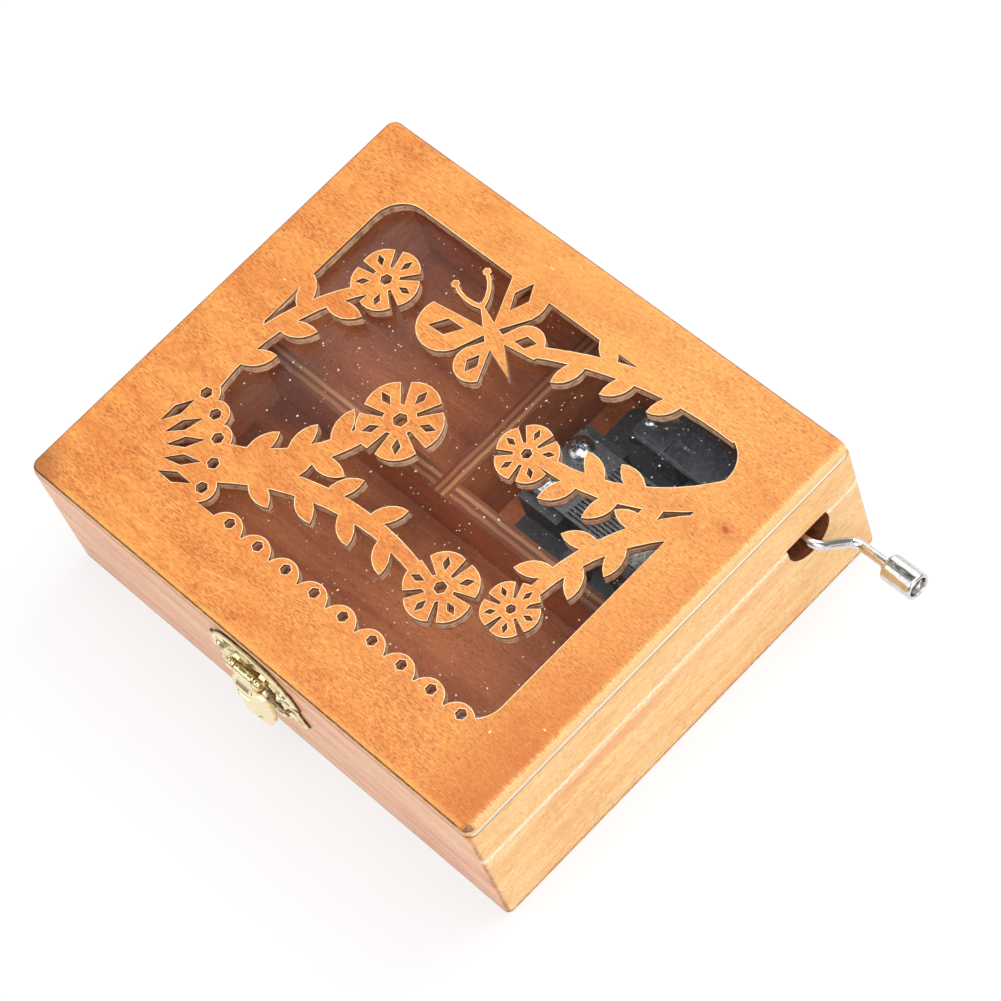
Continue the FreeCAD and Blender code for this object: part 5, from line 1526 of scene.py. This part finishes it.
@dataclass
class Latch:
    """A stamped latch: an ornamental plate on the lid, one on the case, and a bellied hasp between them."""

    middle_x: float = 0.8
    half_width: float = 14.5
    plate: float = 0.9
    seam_z: float = 27.0
    axis_out: float = 2.4
    axis_z: float = 31.6
    knuckle_radius: float = 1.3
    catch_z: float = 20.6
    catch_radius: float = 1.4
    pin: Metal = Metal("latch_pin_brass", srgb(196, 166, 104), srgb(120, 92, 50), 0.3)

    def upper(self) -> StampedPlate:
        """The lid plate: a broad bead, a scroll about each eye, a fan over the knuckle, pearls.

        Returns:
            The plate.
        """
        w, edge = self.half_width, self.seam_z + 0.65
        outline = mirrored_outline([
            (0, 40.4), (7.6, 39.0, w - 2.6, 34.6), (w - 2.0, 33.9, w - 1.2, 33.9), (w - 0.9, 30.8, w, edge),
            (w - 2.9, edge + 0.7, w - 5.6, edge), (5.4, edge), (5.4, 29.6), (0, 29.6)])
        coil = scroll((10.4, 30.1), 1.35, 2.2, -60.0, 0.95, ((7.6, 32.4), (5.8, 34.6), (3.4, 36.2)))
        angle = np.radians(np.array([90.0, 66.0, 44.0, 24.0]))[:, None, None]
        reach = np.linspace(1.0, 3.6, 24)[None, :, None]
        rays = np.concatenate([reach * np.cos(angle), 32.6 + reach * np.sin(angle)], axis=-1).reshape(-1, 2)
        pearls = np.array([[7.6, 29.2], [8.0, 30.6], [12.6, 29.0], [5.9, 31.2], [7.0, 30.6]])
        ridges = ((coil, 0.34, 0.42), (rays, 0.24, 0.36), (pearls, 0.36, 0.40))
        return StampedPlate(self.middle_x, outline, (10.6, 29.9, 1.0), (0.95, 0.58), ridges)

    def lower(self) -> StampedPlate:
        """The case plate: a narrow bead, a scroll about each hole and one down to the tip.

        Returns:
            The plate.
        """
        w = self.half_width
        outline = mirrored_outline([
            (0, 26.4), (w - 1.0, 26.4), (w - 1.2, 23.6, w + 0.2, 20.4), (w - 2.6, 17.6, w - 5.6, 19.0),
            (w - 6.6, 16.4, w - 9.2, 15.4), (4.4, 12.4, 0, 11.5)])
        coil = scroll((6.6, 23.4), 1.5, 2.3, 40.0, -0.9, ((9.6, 24.6), (11.6, 25.0)))
        tip = scroll((10.6, 20.8), 0.4, 1.2, 180.0, 0.9, ((7.6, 19.4), (4.6, 16.6), (1.6, 14.0)))
        ridges = ((coil, 0.32, 0.40), (tip, 0.32, 0.36))
        return StampedPlate(self.middle_x, outline, (6.6, 23.4, 1.1), (0.7, 0.46), ridges)

    def catch(self) -> Shape:
        """The catch on the case plate: a round stud with an eased end.

        Returns:
            The stud.
        """
        reach, r = HaspPlate.back_out - self.plate - 0.25, self.catch_radius
        profile = [(-0.5, r), (reach - 0.3, r), (reach - 0.08, r - 0.12), (reach, r - 0.4), (reach, 0.0)]
        return turned(profile, (self.middle_x, -HALF_DEPTH - self.plate, self.catch_z), FRONT, 40)

    def knuckle(self, first: float, last: float) -> Shape:
        """A rolled knuckle on the hasp's axis: a tube with eased ends and two shallow grooves.

        Args:
            first: Where it starts, from the plate's middle.
            last: Where it ends.

        Returns:
            The knuckle.
        """
        span, share = last - first, np.linspace(0.0, 1.0, 30)
        grooves = 0.07 * (np.exp(-((share - 0.28) / 0.06) ** 2) + np.exp(-((share - 0.72) / 0.06) ** 2))
        ends = 0.16 * (np.exp(-(share * span / 0.14) ** 2) + np.exp(-((1 - share) * span / 0.14) ** 2))
        outer = zip(share * span, self.knuckle_radius - grooves - ends)
        start = (self.middle_x + first, -HALF_DEPTH - self.axis_out, self.axis_z)
        return turned([(0.0, 0.55), *outer, (span, 0.55), (0.0, 0.55)], start, RIGHT, 44)

    def ears(self) -> list[Shape]:
        """The lid plate's two rolled ears with the webs that join them to the plate.

        Returns:
            Knuckle and web of each ear.
        """
        shapes = []
        y = -HALF_DEPTH + np.array([-self.axis_out, -1.6, -0.3, -0.3, -self.axis_out])
        z = self.axis_z + np.array([-0.2, 0.5, 1.0, 1.0, -0.2])
        for first, last in ((-5.2, -3.3), (3.3, 5.2)):
            x = self.middle_x + np.linspace(first + 0.08, last - 0.08, 6)
            ring = np.stack(np.broadcast_arrays(x[:, None], y, z), axis=-1)
            ends = np.broadcast_to(ring[[0, -1]].mean(axis=1, keepdims=True), (2, 5, 3))
            web = np.concatenate([ends[:1], ring, ends[1:]]).reshape(-1, 3)
            shapes += [self.knuckle(first, last), Shape(web, (grid_quads(8, 5, True),))]
        return shapes

    def nails(self, reach: float, height: float) -> list[Shape]:
        """Two domed nail heads: out(r) = 0.52 * sqrt(1 - (r / 1.15)^2) - 0.1.

        Args:
            reach: How far each is from the plate's middle.
            height: Height of their middles.

        Returns:
            The heads.
        """
        r = np.linspace(0.0, 1.05, 12)
        profile = [*zip(0.52 * np.sqrt(1 - (r / 1.15) ** 2) - 0.1, r), (-0.2, 1.0), (-0.3, 0.5)]
        y = -HALF_DEPTH - self.plate + 0.25
        return [turned(profile, (self.middle_x + side * reach, y, height), FRONT, 28) for side in (-1, 1)]

    def build(self) -> None:
        """Builds the latch and dresses its pin."""
        brass = AntiqueBrass().build()
        tongue = mirrored_outline([(0, 31.3), (2.95, 31.3), (2.95, 30.4), (3.4, 28.6, 5.4, 26.6),
                                   (6.3, 22.0, 4.6, 16.6), (3.0, 13.0, 0, 12.4)])
        hasp = HaspPlate(self.middle_x, tongue)
        for name, shapes, body, node in (
                ("latch_upper_plate", [self.upper().shape(), *self.ears()], Body.LID, "latch_lid_plate"),
                ("latch_lower_plate", [self.lower().shape(), self.catch()], Body.BOX, "latch_case_plate"),
                ("latch_tongue", [hasp.shape(), self.knuckle(-3.05, 3.05)], Body.HASP, "latch_hasp"),
                ("latch_lid_nail_heads", self.nails(8.4, 35.6), Body.LID, "latch_lid_nails"),
                ("latch_case_nail_heads", self.nails(10.2, 21.4), Body.BOX, "latch_case_nails")):
            add_piece(name, shapes, body, brass, node)
        dress(self.pin, "latch_pin")


@dataclass
class Crank:
    """The bent wire crank and the knob that spins on its end."""

    shaft_y: float = 42.4
    shaft_z: float = 23.0
    shaft_start: float = 33.9
    offset_y: float = 8.6
    offset_z: float = -7.2
    arm_start: float = 74.3
    arm_end: float = 76.9
    wire: float = 1.25
    knob_x: float = 86.6
    knob_length: float = 8.8
    knob_radius: float = 3.35
    mouth_radius: float = 2.45
    mouth_depth: float = 2.6
    plate: Metal = Metal("bright_plate", srgb(226, 224, 221), srgb(176, 174, 171), 0.07, wear=0.35,
                         scratch_mm=0.03)

    def on_arm(self, x: float) -> Point:
        """A point on the arm's axis."""
        return x, self.shaft_y + self.offset_y, self.shaft_z + self.offset_z

    def rod(self) -> list[Shape]:
        """The wire along its bent path, pinched slightly at the outer bend, with its collar and rivet.

        Returns:
            Wire, collar and rivet.
        """
        seat = self.knob_x + self.knob_length - self.mouth_depth
        y, z = self.shaft_y, self.shaft_z
        corners = [(self.shaft_start, y, z), (self.arm_start, y, z), self.on_arm(self.arm_end),
                   self.on_arm(seat + 0.3)]
        path = evenly(bent_path(corners, (3.8, 2.6)), 0.22)
        off = np.linalg.norm(path - np.array(corners[2]), axis=1)
        pinch = 0.05 * np.exp(-(off / 1.1) ** 2) - 0.05 * np.exp(-((off - 1.9) / 0.5) ** 2)
        radii = self.wire * (1 + pinch)
        normal = tuple(np.cross(RIGHT, (0.0, self.offset_y, self.offset_z)))
        collar = [(0, 0), (0, 1.45), (0.15, 1.65), (0.75, 1.65), (0.9, 1.45), (0.9, 0)]
        r = np.linspace(0.0, 1.9, 14)[::-1]
        rivet = [(0, 0), (0, 1.75), (0.12, 1.9), *zip(0.35 + 0.75 * np.sqrt(1 - (r / 1.95) ** 2), r)]
        return [swept(path, radii, normal, 40), turned(collar, self.on_arm(self.knob_x - 1.05), RIGHT, 48),
                turned(rivet, self.on_arm(seat + 0.15), RIGHT, 48)]

    def knob(self) -> Shape:
        """The turned sleeve: a closed profile carried round the arm, its surface very slightly rippled.

        Returns:
            The sleeve.
        """
        reach, r, bore, mouth = self.knob_length, self.knob_radius, self.wire + 0.07, self.mouth_radius
        floor, along = reach - self.mouth_depth, np.linspace(0.9, reach - 0.5, 40)
        profile = [(0, bore), (0, r - 0.75), (0.12, r - 0.42), (0.35, r - 0.16), (0.62, r - 0.04), (0.8, r),
                   *zip(along, r + 0.004 * np.sin(along * 1.9) - 0.004), (reach - 0.32, r - 0.04),
                   (reach - 0.12, r - 0.14), (reach, r - 0.34), (reach, mouth + 0.22),
                   (reach - 0.12, mouth + 0.06), (reach - 0.3, mouth), (floor, mouth), (floor, bore),
                   (0, bore)]
        return turned(profile, self.on_arm(self.knob_x), RIGHT, 96)

    def build(self) -> None:
        """Builds the rod and the knob."""
        plated = self.plate.build()
        add_piece("crank_rod", self.rod(), Body.CRANK, plated, "crank_wire")
        add_piece("knob_barrel", [self.knob()], Body.KNOB, plated, "knob_sleeve")


@dataclass
class Movement:
    """The comb, the cylinder, their frame and the worm drive."""

    comb_top: float = 16.0
    comb_screws: tuple[Pair, ...] = ((11.9, 18.9), (11.9, 29.7))
    comb_screw_radius: float = 3.2
    comb_screw_height: float = 1.9
    housing_top: float = 27.2
    housing_screws: tuple[Pair, ...] = ((26.0, 41.4), (29.4, 46.0))
    screw: Metal = Metal("bright_screw", srgb(206, 210, 214), srgb(140, 146, 152), 0.12, wear=0.4)
    # The edge colours on the comb, frame and cover are painted highlights along their edges.
    finishes: tuple[tuple[Metal, tuple[str, ...]], ...] = (
        (Metal("comb_steel", srgb(150, 153, 158), srgb(104, 107, 112), 0.26, edge_mm=0.16, dust=0.6),
         ("comb",)),
        (Metal("grey_lead", srgb(92, 94, 98), srgb(66, 68, 72), 0.55, 0.8), ("comb_weights",)),
        (Metal("nickel_barrel", srgb(214, 210, 202), srgb(160, 156, 148), 0.22, dust=0.4),
         ("cylinder_barrel", "cylinder_pins")),
        (Metal("dark_resin", srgb(52, 40, 32), srgb(74, 58, 46), 0.4, 0.0), ("cylinder_core",)),
        (Metal("oiled_steel", srgb(124, 126, 129), srgb(76, 78, 80), 0.3),
         ("cylinder_arbor", "worm", "movement_screws")),
        (Metal("cast_frame", srgb(92, 95, 100), srgb(62, 64, 68), 0.42, 0.6, edge_mm=0.35,
               edge=srgb(168, 172, 178), dust=0.5), ("movement_base",)),
        (Metal("moulded_cover", srgb(66, 69, 75), srgb(84, 87, 93), 0.2, 0.0, edge_mm=0.4,
               edge=srgb(150, 155, 163), dust=0.6, coat=0.6), ("worm_housing",)),
        (Metal("wheel_brass", srgb(190, 150, 84), srgb(120, 92, 50), 0.3), ("worm_wheel",)))

    def build(self) -> None:
        """Dresses the movement, and builds the comb's two large screw heads and the cover's small ones."""
        for finish, names in self.finishes:
            dress(finish, *names)
        bright, tall = self.screw.build(), self.comb_screw_height
        large = [cross_head((x, y, self.comb_top), UP, self.comb_screw_radius, tall * 0.55, tall * 0.45,
                            tall * 0.6, fineness=2) for x, y in self.comb_screws]
        small = [cross_head((x, y, self.housing_top), UP, 1.5, 0.5, 0.38, 0.5)
                 for x, y in self.housing_screws]
        add_piece("comb_screw_heads", large, Body.BOX, bright, "comb_screws")
        add_piece("cover_screw_heads", small, Body.BOX, bright, "housing_screws")


def looking(place: Point, ahead: Sequence[float], upward: Point) -> Matrix:
    """The frame of a camera or a lamp: X to its right, Y up, -Z ahead.

    Args:
        place: Where it is.
        ahead: The way it looks.
        upward: What is up for it, not necessarily square to ahead.

    Returns:
        Its matrix.
    """
    aim = unit(np.array(ahead))
    side = unit(np.cross(aim, upward))
    turn = np.eye(4)
    turn[:3] = np.stack([side, np.cross(side, aim), -aim, place], axis=1)
    return Matrix(turn.tolist())


@dataclass
class Studio:
    """The table, the light and the camera."""

    eye: Point = (0.41648, -0.17728, 0.72828)
    ahead: Point = (-0.48677, 0.22082, -0.84516)
    upward: Point = (-0.53643, 0.68804, 0.48873)
    lens_mm: float = 134.2
    table_half: float = 3.0
    target: Point = (0.0, 0.0, 0.03)
    lamps: tuple[tuple[str, Point, float, float], ...] = (
        ("back_window", (0.15, 1.1, 1.3), 1.0, 14.0),
        ("overhead", (0.1, 0.0, 1.6), 1.2, 10.0),
        ("right_fill", (1.2, -0.5, 0.9), 0.9, 6.5))
    windows: tuple[tuple[Point, float, float, float], ...] = (
        ((-0.46, -0.62, 0.63), 0.90, 0.97, 1.6),
        ((-0.42, 0.78, 0.46), 0.88, 0.96, 1.5),
        ((0.85, -0.30, 0.43), 0.80, 0.92, 1.0),
        ((-0.49, 0.22, 0.84), 0.93, 0.975, -0.22),
        ((-0.552, 0.228, 0.802), 0.9986, 0.9998, 0.55))
    room_light: float = 0.58
    room_glow: float = 0.30
    least_glow: float = 0.05
    pane_lift: float = 0.26

    def table(self) -> None:
        """The floor, which isn't part of the object."""
        mesh, half = bpy.data.meshes.new("table"), self.table_half
        corners = [(-half, -half, 0), (half, -half, 0), (half, half, 0), (-half, half, 0)]
        mesh.from_pydata(corners, [], [(0, 1, 2, 3)])
        mesh.materials.append(PaleTable().build())
        floor = put("table", mesh)

    def lamp(self, name: str, place: Point, size: float, watts: float) -> None:
        """A square soft lamp that points at the object.

        Args:
            name: The lamp's name.
            place: Where it hangs.
            size: Length of its side.
            watts: Its power.
        """
        light = bpy.data.lights.new(name, "AREA")
        light.size, light.energy = size, watts
        put(name, light).matrix_world = looking(place, np.array(self.target) - np.array(place), UP)

    def sky(self) -> None:
        """A world that lights evenly, shows white to the camera and a soft dark studio to reflections."""
        world = bpy.data.worlds.new("soft_room")
        bpy.context.scene.world = world
        world.use_nodes = True
        world.node_tree.nodes.clear()
        w = Wiring(world.node_tree)
        even = w.node("Background", (0.98, 0.98, 1.0), self.room_light).outputs[0]
        way, glow = w.node("TexCoord").outputs["Generated"], self.room_glow
        for towards, wide, narrow, strength in self.windows:
            near = w.number("DOT_PRODUCT", way, towards)
            glow = w.math("ADD", glow, w.ramp(near, wide, narrow, 0.0, strength))
        path = w.node("LightPath").outputs
        through = path["Is Transmission Ray"]
        reflected = w.times(through, path["Glossy Depth"])
        glow = w.math("ADD", glow, w.math("MULTIPLY", reflected, self.pane_lift))
        mirrored = w.node("Background", None, w.math("MAXIMUM", glow, self.least_glow)).outputs[0]
        white = w.node("Background").outputs[0]
        shiny = w.math("MAXIMUM", path["Is Glossy Ray"], reflected)
        first = w.node("MixShader", shiny, even, mirrored).outputs[0]
        seen = w.math("MAXIMUM", path["Is Camera Ray"], w.math("SUBTRACT", through, reflected))
        w.node("OutputWorld", w.node("MixShader", seen, first, white).outputs[0])

    def camera(self) -> None:
        """The camera at the photograph's place."""
        lens = bpy.data.cameras.new("camera")
        lens.lens, lens.sensor_width, lens.clip_start, lens.clip_end = self.lens_mm, 36.0, 0.05, 20.0
        seen = put("camera", lens)
        seen.matrix_world = looking(self.eye, self.ahead, self.upward)
        bpy.context.scene.camera = seen

    def build(self) -> None:
        """Sets the studio up."""
        self.camera()
        self.table()
        self.sky()
        for name, place, size, watts in self.lamps:
            self.lamp(name, place, size, watts)
        bpy.context.scene.view_settings.view_transform = "Standard"


def main() -> None:
    """Builds the sub-assemblies in order."""
    logging.basicConfig(level=logging.INFO, format="%(message)s")
    for part in (Studio(), Case(), Fretwork(), Hinges(), Latch(), Crank(), Movement()):
        part.build()
        log.info("built %s", type(part).__name__)


if __name__ == "__main__":
    main()
